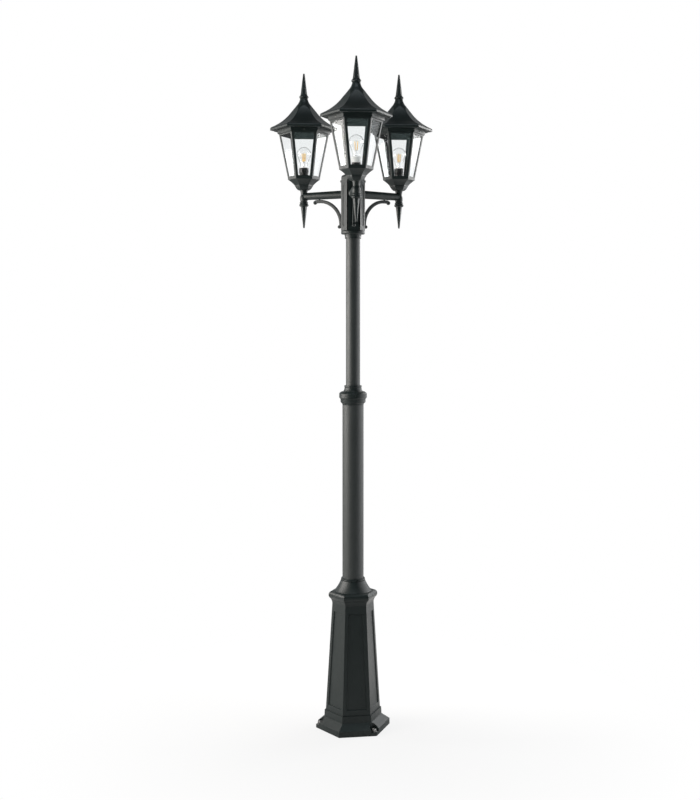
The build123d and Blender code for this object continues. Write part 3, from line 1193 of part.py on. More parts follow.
LANTERN_PIECES = {
    "pendant": pendant,
    "bowl": bowl,
    "cage": cage,
    "panes": panes,
    "gasket": gasket,
    "lampholder": lampholder,
    "holder_ring": holder_ring,
    "bulb_cap": bulb_cap,
    "bulb": bulb,
    "filament": filament,
}
ROOF_PIECES = {"roof": roof, "roof_screws": roof_screws, "roof_cap": roof_cap, "finial": finial}
ARM_PIECES = {"arm": arm, "scroll": scroll}
for side, direction in ARM_DIRECTIONS.items():
    centre = heading(direction, ARM_REACH)
    places = (
        (LANTERN_PIECES, Location(centre, (0, 0, direction + 90))),
        (ROOF_PIECES, Location(centre, (0, 0, direction + 90 + ROOF_TURNS[side]))),
        (ARM_PIECES, Location((0, 0, 0), (0, 0, direction))),
    )
    for pieces, place in places:
        for name, piece in pieces.items():
            with BuildPart() as placed:
                add(piece.part.moved(place))
            placed.part.label = f"{side}_{name}"
            export_step(placed.part, f"parts/{side}_{name}.step")

with BuildPart() as lamp_nipples:
    for direction in ARM_DIRECTIONS.values():
        add(nipple.part.moved(Location(heading(direction, ARM_REACH))))
lamp_nipples.part.label = "lamp_nipples"
export_step(lamp_nipples.part, "parts/lamp_nipples.step")
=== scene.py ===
"""Dresses the triple head lamp post: painted castings, clear panes, filament bulbs and fasteners."""

import json
import logging
from collections.abc import Callable
from dataclasses import dataclass
from enum import Enum
from functools import cache
from math import cos, hypot, pi, radians, sin

import bpy
from mathutils import Matrix, Vector

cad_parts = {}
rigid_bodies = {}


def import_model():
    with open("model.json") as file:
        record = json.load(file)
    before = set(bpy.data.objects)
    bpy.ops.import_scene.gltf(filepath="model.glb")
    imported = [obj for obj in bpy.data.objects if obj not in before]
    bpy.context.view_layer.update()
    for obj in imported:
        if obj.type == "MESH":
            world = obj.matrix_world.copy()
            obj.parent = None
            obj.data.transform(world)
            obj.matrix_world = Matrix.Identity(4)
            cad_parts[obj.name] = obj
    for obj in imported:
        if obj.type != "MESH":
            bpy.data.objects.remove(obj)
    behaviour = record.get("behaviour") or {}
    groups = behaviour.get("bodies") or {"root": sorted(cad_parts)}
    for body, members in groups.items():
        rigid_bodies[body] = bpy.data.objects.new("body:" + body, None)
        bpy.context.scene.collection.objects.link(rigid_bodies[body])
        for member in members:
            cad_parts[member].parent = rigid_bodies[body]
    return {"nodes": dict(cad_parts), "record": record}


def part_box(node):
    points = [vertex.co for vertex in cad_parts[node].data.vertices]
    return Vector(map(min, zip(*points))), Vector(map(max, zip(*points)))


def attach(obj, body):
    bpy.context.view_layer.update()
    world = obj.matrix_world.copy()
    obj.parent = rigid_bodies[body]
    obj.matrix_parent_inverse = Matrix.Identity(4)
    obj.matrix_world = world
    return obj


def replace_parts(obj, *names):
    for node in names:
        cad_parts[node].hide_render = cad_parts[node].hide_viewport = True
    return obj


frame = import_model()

logging.basicConfig(level=logging.INFO, format="%(name)s: %(message)s")
log = logging.getLogger("lamp_post")

MM = 0.001
POST_BODY = "post"

# most of a noise's patches lie between these two values
NOISE_LOW = 0.35
NOISE_HIGH = 0.65

# corners closer than this are one, and angles are in degrees
MERGE_DISTANCE = 0.002 * MM
FLAT_ANGLE = 0.2
EDGE_ANGLE = 28.0
TURNED_ANGLE = 35.0
FACING_UP = 0.9

Colour = tuple[float, float, float]
Point = tuple[float, float, float]
Station = tuple[float, float]
Span = tuple[float, float]
Socket = bpy.types.NodeSocket
Material = bpy.types.Material
Piece = bpy.types.Object


class Side(Enum):
    """The lanterns, by the direction in degrees that their arm points in."""

    FRONT = 270
    LEFT = 150
    RIGHT = 30

    @property
    def title(self) -> str:
        """The side's name at the start of its nodes' names."""
        return self.name.lower()

    @property
    def top_body(self) -> str:
        """The body of the roof that lifts off this lantern."""
        return f"{self.title}_lantern_top"


class Texture(Enum):
    """How coarse the skin of a painted piece is."""

    CAST = 1.0
    DRAWN = 0.6


# -------- finishes
class Shading:
    """A material or a world under construction, with short calls for its nodes."""

    def __init__(self, name: str, world: bool = False) -> None:
        """Starts an empty material or world.

        Args:
            name: its name.
            world: True for a world, whose place is the direction that a ray goes in.
        """
        self.owner = (bpy.data.worlds if world else bpy.data.materials).new(name)
        self.owner.use_nodes = True
        self.nodes = self.owner.node_tree.nodes
        self.links = self.owner.node_tree.links
        self.nodes.clear()
        self.output = self.add("ShaderNodeOutputWorld" if world else "ShaderNodeOutputMaterial")
        self.place = self.add("ShaderNodeTexCoord").outputs["Generated" if world else "Object"]

    def add(self, kind: str, **inputs: object) -> bpy.types.Node:
        """Adds a node.

        Args:
            kind: the node's type.
            inputs: values or sockets for its inputs, with spaces in their names as underscores.

        Returns:
            The new node.
        """
        node = self.nodes.new(kind)
        for key, value in inputs.items():
            self.feed(node.inputs[key.replace("_", " ")], value)
        return node

    def feed(self, socket: Socket, value: object) -> None:
        """Links an input to a socket, or sets its value.

        Args:
            socket: the input.
            value: a socket or a plain value.
        """
        if isinstance(value, Socket):
            self.links.new(value, socket)
        else:
            socket.default_value = value

    def maths(self, operation: str, *values: object) -> Socket:
        """Works out a value from others.

        Args:
            operation: what is done with them.
            values: the values or sockets, in order.

        Returns:
            The result.
        """
        node = self.add("ShaderNodeMath")
        node.operation = operation
        for socket, value in zip(node.inputs, values):
            self.feed(socket, value)
        return node.outputs[0]

    def ranged(self, value: Socket, source: Span, target: Span, easing: str = "LINEAR") -> Socket:
        """Maps a value from one range to another, and no further.

        Args:
            value: the value.
            source: the ends of its own range.
            target: what these ends become.
            easing: how it goes from one end to the other.

        Returns:
            The mapped value.
        """
        ends = {"From_Min": source[0], "From_Max": source[1], "To_Min": target[0], "To_Max": target[1]}
        node = self.add("ShaderNodeMapRange", Value=value, **ends)
        node.interpolation_type = easing
        return node.outputs["Result"]

    def mixed(self, share: Socket, first: bpy.types.Node, second: bpy.types.Node) -> Socket:
        """Mixes two shaders.

        Args:
            share: the share of the second shader.
            first: the first shader.
            second: the second shader.

        Returns:
            The mixed shader.
        """
        node = self.add("ShaderNodeMixShader", Fac=share)
        self.feed(node.inputs[1], first.outputs[0])
        self.feed(node.inputs[2], second.outputs[0])
        return node.outputs[0]

    def noise(self, size: float, detail: float = 3.0, stretch: Point = (1, 1, 1)) -> Socket:
        """A noise whose patches are about this size.

        Args:
            size: the patches' size in metres.
            detail: how many finer layers it has.
            stretch: how much closer the patches lie along each axis.

        Returns:
            The noise's value, about 0.5 on average.
        """
        mapping = self.add("ShaderNodeMapping", Vector=self.place, Scale=stretch)
        place = mapping.outputs["Vector"]
        return self.add("ShaderNodeTexNoise", Vector=place, Scale=1 / size, Detail=detail).outputs["Fac"]

    def spread(self, value: Socket, low: float, high: float) -> Socket:
        """Maps the middle of a noise's values to a range, from low to high."""
        return self.ranged(value, (NOISE_LOW, NOISE_HIGH), (low, high))

    def blend(self, share: Socket, low: Colour, high: Colour) -> Socket:
        """Mixes two colours.

        Args:
            share: the share of the second colour.
            low: the first colour.
            high: the second colour.

        Returns:
            The mixed colour.
        """
        ramp = self.add("ShaderNodeValToRGB", Fac=share)
        ramp.color_ramp.elements[0].color = (*low, 1)
        ramp.color_ramp.elements[1].color = (*high, 1)
        return ramp.outputs["Color"]

    def bump(self, height: Socket, depth: float, strength: float) -> Socket:
        """Turns a height into a normal, where a height of 1 is this deep in metres."""
        node = self.add("ShaderNodeBump", Height=height, Distance=depth, Strength=strength)
        return node.outputs["Normal"]

    def finish(self, shader: Socket) -> bpy.types.ID:
        """Wires the shader to the output and returns the material or the world."""
        self.feed(self.output.inputs["Surface"], shader)
        return self.owner


@dataclass(frozen=True)
class Skin:
    """An opaque finish: two colours that blend, a roughness that varies and a fine relief."""

    name: str
    dark: Colour
    light: Colour
    roughness: float
    smoother: float = 0.05
    rougher: float = 0.08
    relief: float = 0.06 * MM
    relief_strength: float = 0.35

    def coat(
        self, shading: Shading, patches: Socket, skin: Socket, bumps: Socket, **inputs: object
    ) -> Material:
        """Builds the finish's surface.

        Args:
            shading: the material.
            patches: where its light colour lies.
            skin: where it is rough.
            bumps: its normal.
            inputs: the shader's other inputs.

        Returns:
            The material.
        """
        shader = shading.add(
            "ShaderNodeBsdfPrincipled",
            Base_Color=shading.blend(shading.spread(patches, 0, 1), self.dark, self.light),
            Roughness=shading.spread(skin, self.roughness - self.smoother, self.roughness + self.rougher),
            Normal=bumps,
            **inputs,
        )
        return shading.finish(shader.outputs[0])


@dataclass(frozen=True)
class PowderCoat(Skin):
    """Near-black powder paint with a fine skin, over cast or drawn metal."""

    texture: Texture = Texture.CAST
    sheen: float = 0.5
    skin: float = 1.6 * MM
    pits: float = 5.0 * MM
    clouds: float = 70.0 * MM
    cloud_share: float = 0.7
    rougher: float = 0.06
    relief: float = 0.15 * MM
    relief_strength: float = 0.5

    def material(self) -> Material:
        """Builds the paint.

        Returns:
            The material.
        """
        shading = Shading(self.name)
        skin = shading.noise(self.skin, detail=4)
        pits = shading.noise(self.pits)
        fine = shading.maths("MULTIPLY", skin, 1 - self.cloud_share)
        mottle = shading.maths("MULTIPLY_ADD", shading.noise(self.clouds, detail=2), self.cloud_share, fine)
        relief = shading.maths("ADD", skin, pits)
        bumps = shading.bump(relief, self.relief * self.texture.value, self.relief_strength)
        return self.coat(shading, mottle, pits, bumps, Specular_IOR_Level=self.sheen)


@dataclass(frozen=True)
class ThinPane:
    """A thin clear pane: a faint, slightly wavy mirror over plain see-through, with a little dust."""

    name: str
    mirror: float
    dust: float
    tint: Colour = (1.0, 1.0, 1.0)
    mirror_colour: Colour = (0.93, 0.95, 0.95)
    roughness: Span = (0.05, 0.08)
    smudge: float = 35 * MM
    haze: float = 30 * MM
    wave: float = 90 * MM
    wave_depth: float = 0.3 * MM
    wave_strength: float = 0.3

    def material(self) -> Material:
        """Builds the pane's material.

        Returns:
            The material.
        """
        shading = Shading(self.name)
        film = shading.spread(shading.noise(self.smudge, detail=5), self.mirror, self.mirror + self.dust)
        mirror = shading.add(
            "ShaderNodeBsdfPrincipled",
            Base_Color=(*self.mirror_colour, 1),
            Metallic=1.0,
            Roughness=shading.spread(shading.noise(self.haze, detail=2), *self.roughness),
            Normal=shading.bump(shading.noise(self.wave, detail=1), self.wave_depth, self.wave_strength),
        )
        through = shading.add("ShaderNodeBsdfTransparent", Color=(*self.tint, 1))
        return shading.finish(shading.mixed(film, through, mirror))


@dataclass(frozen=True)
class ClearGlass:
    """Blown clear glass with a faint wave, which lets the lamps' light through."""

    name: str
    tint: Colour
    roughness: float
    wave: float
    ripple: float = 0.2
    ripple_depth: float = 0.2 * MM
    smudge: float = 40 * MM
    smudge_roughness: float = 0.03
    bending: float = 1.3

    def material(self) -> Material:
        """Builds the glass, with plain passage for shadow and diffuse rays.

        Returns:
            The material.
        """
        shading = Shading(self.name)
        smudge = shading.noise(self.smudge, detail=4)
        glass = shading.add(
            "ShaderNodeBsdfPrincipled",
            Base_Color=(*self.tint, 1),
            Transmission_Weight=1.0,
            Roughness=shading.spread(smudge, self.roughness, self.roughness + self.smudge_roughness),
            IOR=self.bending,
            Normal=shading.bump(shading.noise(self.wave, detail=1), self.ripple_depth, self.ripple),
        )
        through = shading.add("ShaderNodeBsdfTransparent", Color=(*self.tint, 1))
        path = shading.add("ShaderNodeLightPath").outputs
        either = shading.maths("MAXIMUM", path["Is Shadow Ray"], path["Is Diffuse Ray"])
        return shading.finish(shading.mixed(either, glass, through))


@dataclass(frozen=True)
class Metal(Skin):
    """Bare or plated metal with a brushed or tumbled skin."""

    stretch: Point = (1, 1, 8)
    grain: float = 1.2 * MM
    stain: float = 6 * MM
    smoother: float = 0.06
    rougher: float = 0.1
    relief: float = 0.05 * MM
    relief_strength: float = 0.4

    def material(self) -> Material:
        """Builds the metal.

        Returns:
            The material.
        """
        shading = Shading(self.name)
        grain = shading.noise(self.grain, 4, self.stretch)
        bumps = shading.bump(grain, self.relief, self.relief_strength)
        return self.coat(shading, shading.noise(self.stain), grain, bumps, Metallic=1.0)


@dataclass(frozen=True)
class Moulded(Skin):
    """Moulded plastic, ceramic or rubber with a soft skin, and on some parts a painted glow."""

    # painted glow: the part emits its light colour at this strength, though it is no lamp
    glow: float = 0.0
    skin: float = 0.8 * MM
    clouds: float = 9 * MM

    def material(self) -> Material:
        """Builds the moulding.

        Returns:
            The material.
        """
        shading = Shading(self.name)
        skin = shading.noise(self.skin)
        cloud = shading.noise(self.clouds, detail=2)
        bumps = shading.bump(skin, self.relief, self.relief_strength)
        # the painted glow: emission in the light colour, on a part that is no lamp
        light = {"Emission_Color": (*self.light, 1), "Emission_Strength": self.glow}
        return self.coat(shading, cloud, skin, bumps, **light)


class Finish(Enum):
    """Every finish on the post, with the record's slot that it belongs to."""

    CASTING = (
        "casting_paint",
        PowderCoat("cast_paint", (0.0042, 0.0108, 0.0104), (0.0085, 0.0152, 0.0146), 0.46),
    )
    TUBE = (
        "tube_paint",
        PowderCoat(
            "drawn_paint",
            (0.014, 0.0195, 0.019),
            (0.022, 0.028, 0.027),
            0.56,
            texture=Texture.DRAWN,
            sheen=0.85,
            clouds=110 * MM,
        ),
    )
    PANE = ("pane_glass", ThinPane("thin_pane", 0.03, 0.008, (0.982, 0.987, 0.988)))
    BULB = ("bulb_glass", ClearGlass("blown_glass", (1.0, 1.0, 1.0), 0.0, 25 * MM, 0.1))
    SCREW = ("screw_steel", Metal("blacked_steel", (0.07, 0.07, 0.07), (0.16, 0.16, 0.155), 0.38))
    NUT = ("screw_steel", Metal("zinc_plate", (0.2, 0.2, 0.2), (0.36, 0.36, 0.35), 0.42))
    NIPPLE = ("nipple_steel", Metal("nipple_zinc", (0.42, 0.42, 0.4), (0.62, 0.61, 0.57), 0.36))
    CAP = ("cap_brass", Metal("spun_brass", (0.52, 0.42, 0.22), (0.7, 0.58, 0.33), 0.3))
    WIRE = ("filament_amber", Metal("support_wire", (0.38, 0.33, 0.28), (0.6, 0.55, 0.48), 0.32))
    # the unlit filament rods get a faint painted glow that brightens their amber
    FILAMENT = ("filament_amber", Moulded("amber_rods", (0.5, 0.27, 0.02), (0.85, 0.52, 0.07), 0.4, glow=0.5))
    HOLDER = ("holder_black", Moulded("black_phenolic", (0.012, 0.012, 0.012), (0.024, 0.023, 0.022), 0.34))
    RING_BLACK = ("ring_black", Moulded("black_moulding", (0.012, 0.012, 0.012), (0.024, 0.023, 0.022), 0.3))
    # the white ring gets a painted glow that brightens it like a highlight
    RING_WHITE = (
        "ring_white",
        Moulded("white_moulding", (0.84, 0.84, 0.82), (0.93, 0.93, 0.91), 0.28, glow=0.22),
    )
    SEAL = ("seal_rubber", Moulded("black_rubber", (0.02, 0.02, 0.02), (0.035, 0.035, 0.035), 0.7))
    TERMINAL = ("terminal_plastic", Moulded("ivory_moulding", (0.7, 0.68, 0.6), (0.82, 0.8, 0.73), 0.4))

    @property
    def slot(self) -> str:
        """The record's material slot."""
        return self.value[0]

    @cache
    def material(self) -> Material:
        """The finish's material, built when it is first asked for."""
        return self.value[1].material()


# -------- modelling
def take_alone(piece: Piece) -> None:
    """Selects one object and makes it active.

    Args:
        piece: the object.
    """
    bpy.ops.object.select_all(action="DESELECT")
    piece.select_set(True)
    bpy.context.view_layer.objects.active = piece


def settle(piece: Piece, title: str, finish: Finish, body: str) -> Piece:
    """Names a finished piece, gives it its finish and lets it ride.

    Args:
        piece: the piece, in place.
        title: its name.
        finish: what it is finished in.
        body: the body that it moves with.

    Returns:
        The same piece.
    """
    piece.name = title
    piece.data.name = title
    piece.data.materials.clear()
    piece.data.materials.append(finish.material())
    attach(piece, body)
    finish.slot
    log.info("%s in %s, %d faces", title, finish.name.lower(), len(piece.data.polygons))
    return piece


def dress(node: str, finish: Finish) -> None:
    """Gives a node that stays as it is its finish.

    Args:
        node: the node.
        finish: its finish.
    """
    for slot in frame["nodes"][node].material_slots:
        slot.material = finish.material()
    log.info("%s in %s", node, finish.name.lower())


def soften(
    node: str,
    body: str,
    edge: float,
    crease: float = EDGE_ANGLE,
    shape: Callable[[Piece], None] | None = None,
) -> Piece:
    """Stands a painted copy with rounded edges in a casting's place.

    Args:
        node: the casting's node.
        body: the body that it moves with.
        edge: the width of its rounded edges, in metres.
        crease: the angle in degrees above which the shading breaks.
        shape: what else is done to the copy before its edges are rounded.

    Returns:
        The copy.
    """
    take_alone(frame["nodes"][node])
    bpy.ops.object.duplicate()
    piece = bpy.context.active_object
    bpy.ops.object.parent_clear(type="CLEAR")
    for key in [key for key in piece.keys() if key.startswith("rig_")]:
        del piece[key]
    bpy.ops.mesh.customdata_custom_splitnormals_clear()
    bpy.ops.object.mode_set(mode="EDIT")
    bpy.ops.mesh.select_all(action="SELECT")
    bpy.ops.mesh.remove_doubles(threshold=MERGE_DISTANCE)
    bpy.ops.mesh.dissolve_limited(angle_limit=radians(FLAT_ANGLE))
    bpy.ops.object.mode_set(mode="OBJECT")
    if shape:
        shape(piece)
    bpy.ops.object.shade_smooth_by_angle(angle=radians(crease))
    bevel = piece.modifiers.new("soft_edges", "BEVEL")
    bevel.width = edge
    bevel.segments = 2
    bevel.limit_method = "ANGLE"
    bevel.angle_limit = radians(EDGE_ANGLE)
    bevel.harden_normals = True
    bpy.ops.object.modifier_apply(modifier=bevel.name)
    settle(piece, f"{node}_casting", Finish.CASTING, body)
    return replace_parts(piece, node)


def turned(stations: list[Station], segments: int = 48, closed: bool = False) -> Piece:
    """Draws a round piece up from a ring, as on a lathe.

    Args:
        stations: the rings' radii and levels in order. A last radius of 0 closes it in a point.
        segments: how many sides it has.
        closed: True if the last ring is the first one again.

    Returns:
        The piece about the Z axis.
    """
    radius, level = stations[0]
    bpy.ops.object.select_all(action="DESELECT")
    bpy.ops.mesh.primitive_circle_add(vertices=segments, radius=radius, location=(0, 0, level))
    piece = bpy.context.active_object
    bpy.ops.object.transform_apply(location=True)
    bpy.ops.object.mode_set(mode="EDIT")
    bpy.ops.mesh.select_all(action="SELECT")
    for next_radius, next_level in stations[1:]:
        rise = {"value": (0, 0, next_level - level)}
        bpy.ops.mesh.extrude_edges_move(TRANSFORM_OT_translate=rise)
        if next_radius == 0:
            bpy.ops.mesh.merge(type="CENTER")
            break
        share = next_radius / radius
        bpy.ops.transform.resize(value=(share, share, 1), center_override=(0, 0, next_level))
        radius, level = next_radius, next_level
    bpy.ops.mesh.select_all(action="SELECT")
    if closed:
        bpy.ops.mesh.remove_doubles(threshold=MERGE_DISTANCE)
    bpy.ops.mesh.normals_make_consistent(inside=False)
    bpy.ops.object.mode_set(mode="OBJECT")
    bpy.ops.object.shade_smooth_by_angle(angle=radians(TURNED_ANGLE))
    return piece


def copy_at(master: Piece, place: Matrix) -> Piece:
    """Copies a piece, with its own mesh, to a place.

    Args:
        master: the piece that is copied.
        place: where the copy goes, from where the master is.

    Returns:
        The copy.
    """
    copy = master.copy()
    copy.data = master.data.copy()
    bpy.context.scene.collection.objects.link(copy)
    copy.data.transform(place)
    return copy


def joined(pieces: list[Piece]) -> Piece:
    """Joins pieces into one.

    Args:
        pieces: the pieces.

    Returns:
        The one piece.
    """
    take_alone(pieces[0])
    for piece in pieces[1:]:
        piece.select_set(True)
    bpy.ops.object.join()
    return bpy.context.active_object


def drop(*masters: Piece) -> None:
    """Takes masters away once their copies stand."""
    for master in masters:
        bpy.data.objects.remove(master)


def heading(degrees: float, radius: float, level: float) -> Vector:
    """A point at this compass angle and distance from the post's axis."""
    return Vector((radius * cos(radians(degrees)), radius * sin(radians(degrees)), level))


def arc_stations(radius: float, level: float, start: float, end: float, steps: int) -> list[Station]:
    """Stations on a circle about the axis point at a level, from one angle in degrees to another."""
    turns = [radians(start + (end - start) * n / steps) for n in range(steps + 1)]
    return [(radius * cos(t), level + radius * sin(t)) for t in turns]


# -------- the post
@dataclass
class AnchorFasteners:
    """The nut, washer and stud end in each notch of the foot."""

    directions: tuple[float, ...] = (65.5, 185.5, 305.5)
    floor: float = 14 * MM
    stud_radius: float = 6 * MM
    stud_top: float = 27 * MM
    stud_tip_threads: float = 1.5
    stud_sides: int = 32
    thread_pitch: float = 1.75 * MM
    thread_depth: float = 0.7 * MM
    washer_radius: float = 12 * MM
    washer_height: float = 2.5 * MM
    washer_edge: float = 0.4 * MM
    washer_sides: int = 40
    nut_across: float = 17 * MM
    nut_height: float = 10 * MM
    nut_chamfer: float = 1.3 * MM
    nut_slope: float = 0.6
    nut_face_share: float = 0.45
    nut_edge: float = 0.5 * MM

    def washer(self) -> Piece:
        """Models the washer, with a broken edge.

        Returns:
            The washer.
        """
        top = self.floor + self.washer_height
        bore = self.stud_radius + self.washer_edge
        rings = [
            (bore, self.floor),
            (self.washer_radius, self.floor),
            (self.washer_radius, top - self.washer_edge),
            (self.washer_radius - self.washer_edge, top),
            (bore, top),
            (bore, self.floor),
        ]
        return turned(rings, self.washer_sides, closed=True)

    def nut(self) -> Piece:
        """Models the six-sided nut, chamfered at its top.

        Returns:
            The nut.
        """
        foot = self.floor + self.washer_height
        body = self.nut_height - self.nut_chamfer
        corner = self.nut_across / 2 / cos(pi / 6)
        bpy.ops.object.select_all(action="DESELECT")
        middle = (0, 0, foot + body / 2)
        bpy.ops.mesh.primitive_cylinder_add(vertices=6, radius=corner, depth=body, location=middle)
        piece = bpy.context.active_object
        bpy.ops.object.transform_apply(location=True)
        bpy.ops.object.mode_set(mode="EDIT")
        bpy.ops.mesh.select_all(action="DESELECT")
        bpy.ops.object.mode_set(mode="OBJECT")
        for face in piece.data.polygons:
            face.select = face.normal.z > FACING_UP
        bpy.ops.object.mode_set(mode="EDIT")
        bpy.ops.mesh.inset(thickness=self.nut_chamfer, depth=self.nut_chamfer * self.nut_slope)
        bpy.ops.mesh.inset(thickness=(self.nut_across / 2 - self.stud_radius) * self.nut_face_share, depth=0)
        bpy.ops.mesh.extrude_region_move(TRANSFORM_OT_translate={"value": (0, 0, -self.nut_chamfer)})
        bpy.ops.object.mode_set(mode="OBJECT")
        bevel = piece.modifiers.new("soft_edges", "BEVEL")
        bevel.width = self.nut_edge
        bevel.segments = 2
        bpy.ops.object.modifier_apply(modifier=bevel.name)
        return piece

    def stud(self) -> Piece:
        """Models the stud's end with its thread as fine ridges.

        Returns:
            The stud.
        """
        foot = self.floor
        rings = [(self.stud_radius, foot)]
        turns = int((self.stud_top - foot - self.thread_pitch) / self.thread_pitch)
        for turn in range(turns):
            rings.append((self.stud_radius - self.thread_depth, foot + (turn + 0.5) * self.thread_pitch))
            rings.append((self.stud_radius, foot + (turn + 1) * self.thread_pitch))
        rings.append((self.stud_radius - self.stud_tip_threads * self.thread_depth, self.stud_top))
        rings.append((0, self.stud_top))
        return turned(rings, self.stud_sides)

    def build(self) -> None:
        """Models each fastener once and sets it in the three notches."""
        masters = {"washer": self.washer(), "nut": self.nut(), "stud": self.stud()}
        reach = MM * anchor_circle() / 2
        for number, direction in enumerate(self.directions, 1):
            turn = Matrix.Rotation(radians(direction), 4, "Z")
            place = Matrix.Translation(heading(direction, reach, 0)) @ turn
            for name, master in masters.items():
                settle(copy_at(master, place), f"anchor_{name}_{number}", Finish.NUT, POST_BODY)
        drop(*masters.values())


def anchor_circle() -> float:
    """The anchor holes' circle, in millimetres, as the record's mount has it."""
    mounts = {mount["name"]: mount for mount in frame["record"]["mounts"]}
    return mounts["anchor_holes"]["dims"]["pcd_mm"]


@dataclass
class Post:
    """Pedestal, tubes, collars and hub."""

    casting_edge: float = 1.2 * MM
    fine_edge: float = 0.6 * MM
    tube_wall: float = 3 * MM
    tube_lip: float = 0.5 * MM
    tube_sides: int = 96
    bell_lip: float = 1.2 * MM
    bell_sag: float = 2.2 * MM
    bell_wall: float = 3 * MM
    bell_head_radius: float = 51.5 * MM
    bell_bore: float = 45.6 * MM
    bell_steps: int = 16
    bead_radius: float = 51.3 * MM
    bead_height: float = 9 * MM
    bead_shares: Span = (0.72, 0.28)
    bead_step: float = 1 * MM
    bead_turns: tuple[float, ...] = (-80, -50, -20, 10, 40, 80)

    def tube(self, node: str) -> None:
        """Models a smooth tube in a node's place.

        Args:
            node: the tube's node.
        """
        low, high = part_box(node)
        outer = (high.x - low.x) / 2
        inner = outer - self.tube_wall
        rings = [
            (inner, low.z),
            (outer - self.tube_lip, low.z),
            (outer, low.z + self.tube_lip),
            (outer, high.z - self.tube_lip),
            (outer - self.tube_lip, high.z),
            (inner, high.z),
            (inner, low.z),
        ]
        piece = turned(rings, self.tube_sides, closed=True)
        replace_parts(settle(piece, f"{node}_finished", Finish.TUBE, POST_BODY), node)

    def bell(self) -> None:
        """Models the bell over the pedestal's socket: a hollow flare below a ring of two beads."""
        low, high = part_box("bell_collar")
        foot_radius = (high.x - low.x) / 2
        flare_head = high.z - self.bead_height
        rings = [(foot_radius, low.z), (foot_radius, low.z + self.bell_lip)]
        rise = flare_head - low.z - self.bell_lip
        for step in range(1, self.bell_steps + 1):
            share = step / self.bell_steps
            # a parabola, deepest halfway up
            sag = 4 * self.bell_sag * share * (1 - share)
            radius = foot_radius + (self.bell_head_radius - foot_radius) * share - sag
            rings.append((radius, low.z + self.bell_lip + rise * share))
        level = flare_head
        for share, reach in zip(self.bead_shares, (self.bead_radius, self.bead_radius - self.bead_step)):
            half = self.bead_height * share / 2
            rings += [
                (reach - half + half * cos(radians(turn)), level + half + half * sin(radians(turn)))
                for turn in self.bead_turns
            ]
            level += 2 * half
        rings += [
            (self.bell_bore, high.z),
            (self.bell_bore, flare_head),
            (self.bell_head_radius - 2 * self.bell_wall, flare_head - self.bell_wall),
            (foot_radius - self.bell_wall, low.z),
            (foot_radius, low.z),
        ]
        piece = turned(rings, self.tube_sides, closed=True)
        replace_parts(settle(piece, "bell_casting", Finish.CASTING, POST_BODY), "bell_collar")

    def build(self) -> None:
        """Dresses every piece of the post."""
        for node in ("pedestal", "hub"):
            soften(node, POST_BODY, self.casting_edge)
        for node in ("collar", "hub_lid"):
            soften(node, POST_BODY, self.fine_edge)
        self.bell()
        for node in ("lower_tube", "upper_tube"):
            self.tube(node)
        for node in ("pedestal_screws", "collar_screws", "hub_screws"):
            dress(node, Finish.SCREW)
        dress("terminal_block", Finish.TERMINAL)
        dress("lamp_nipples", Finish.NIPPLE)
        AnchorFasteners().build()


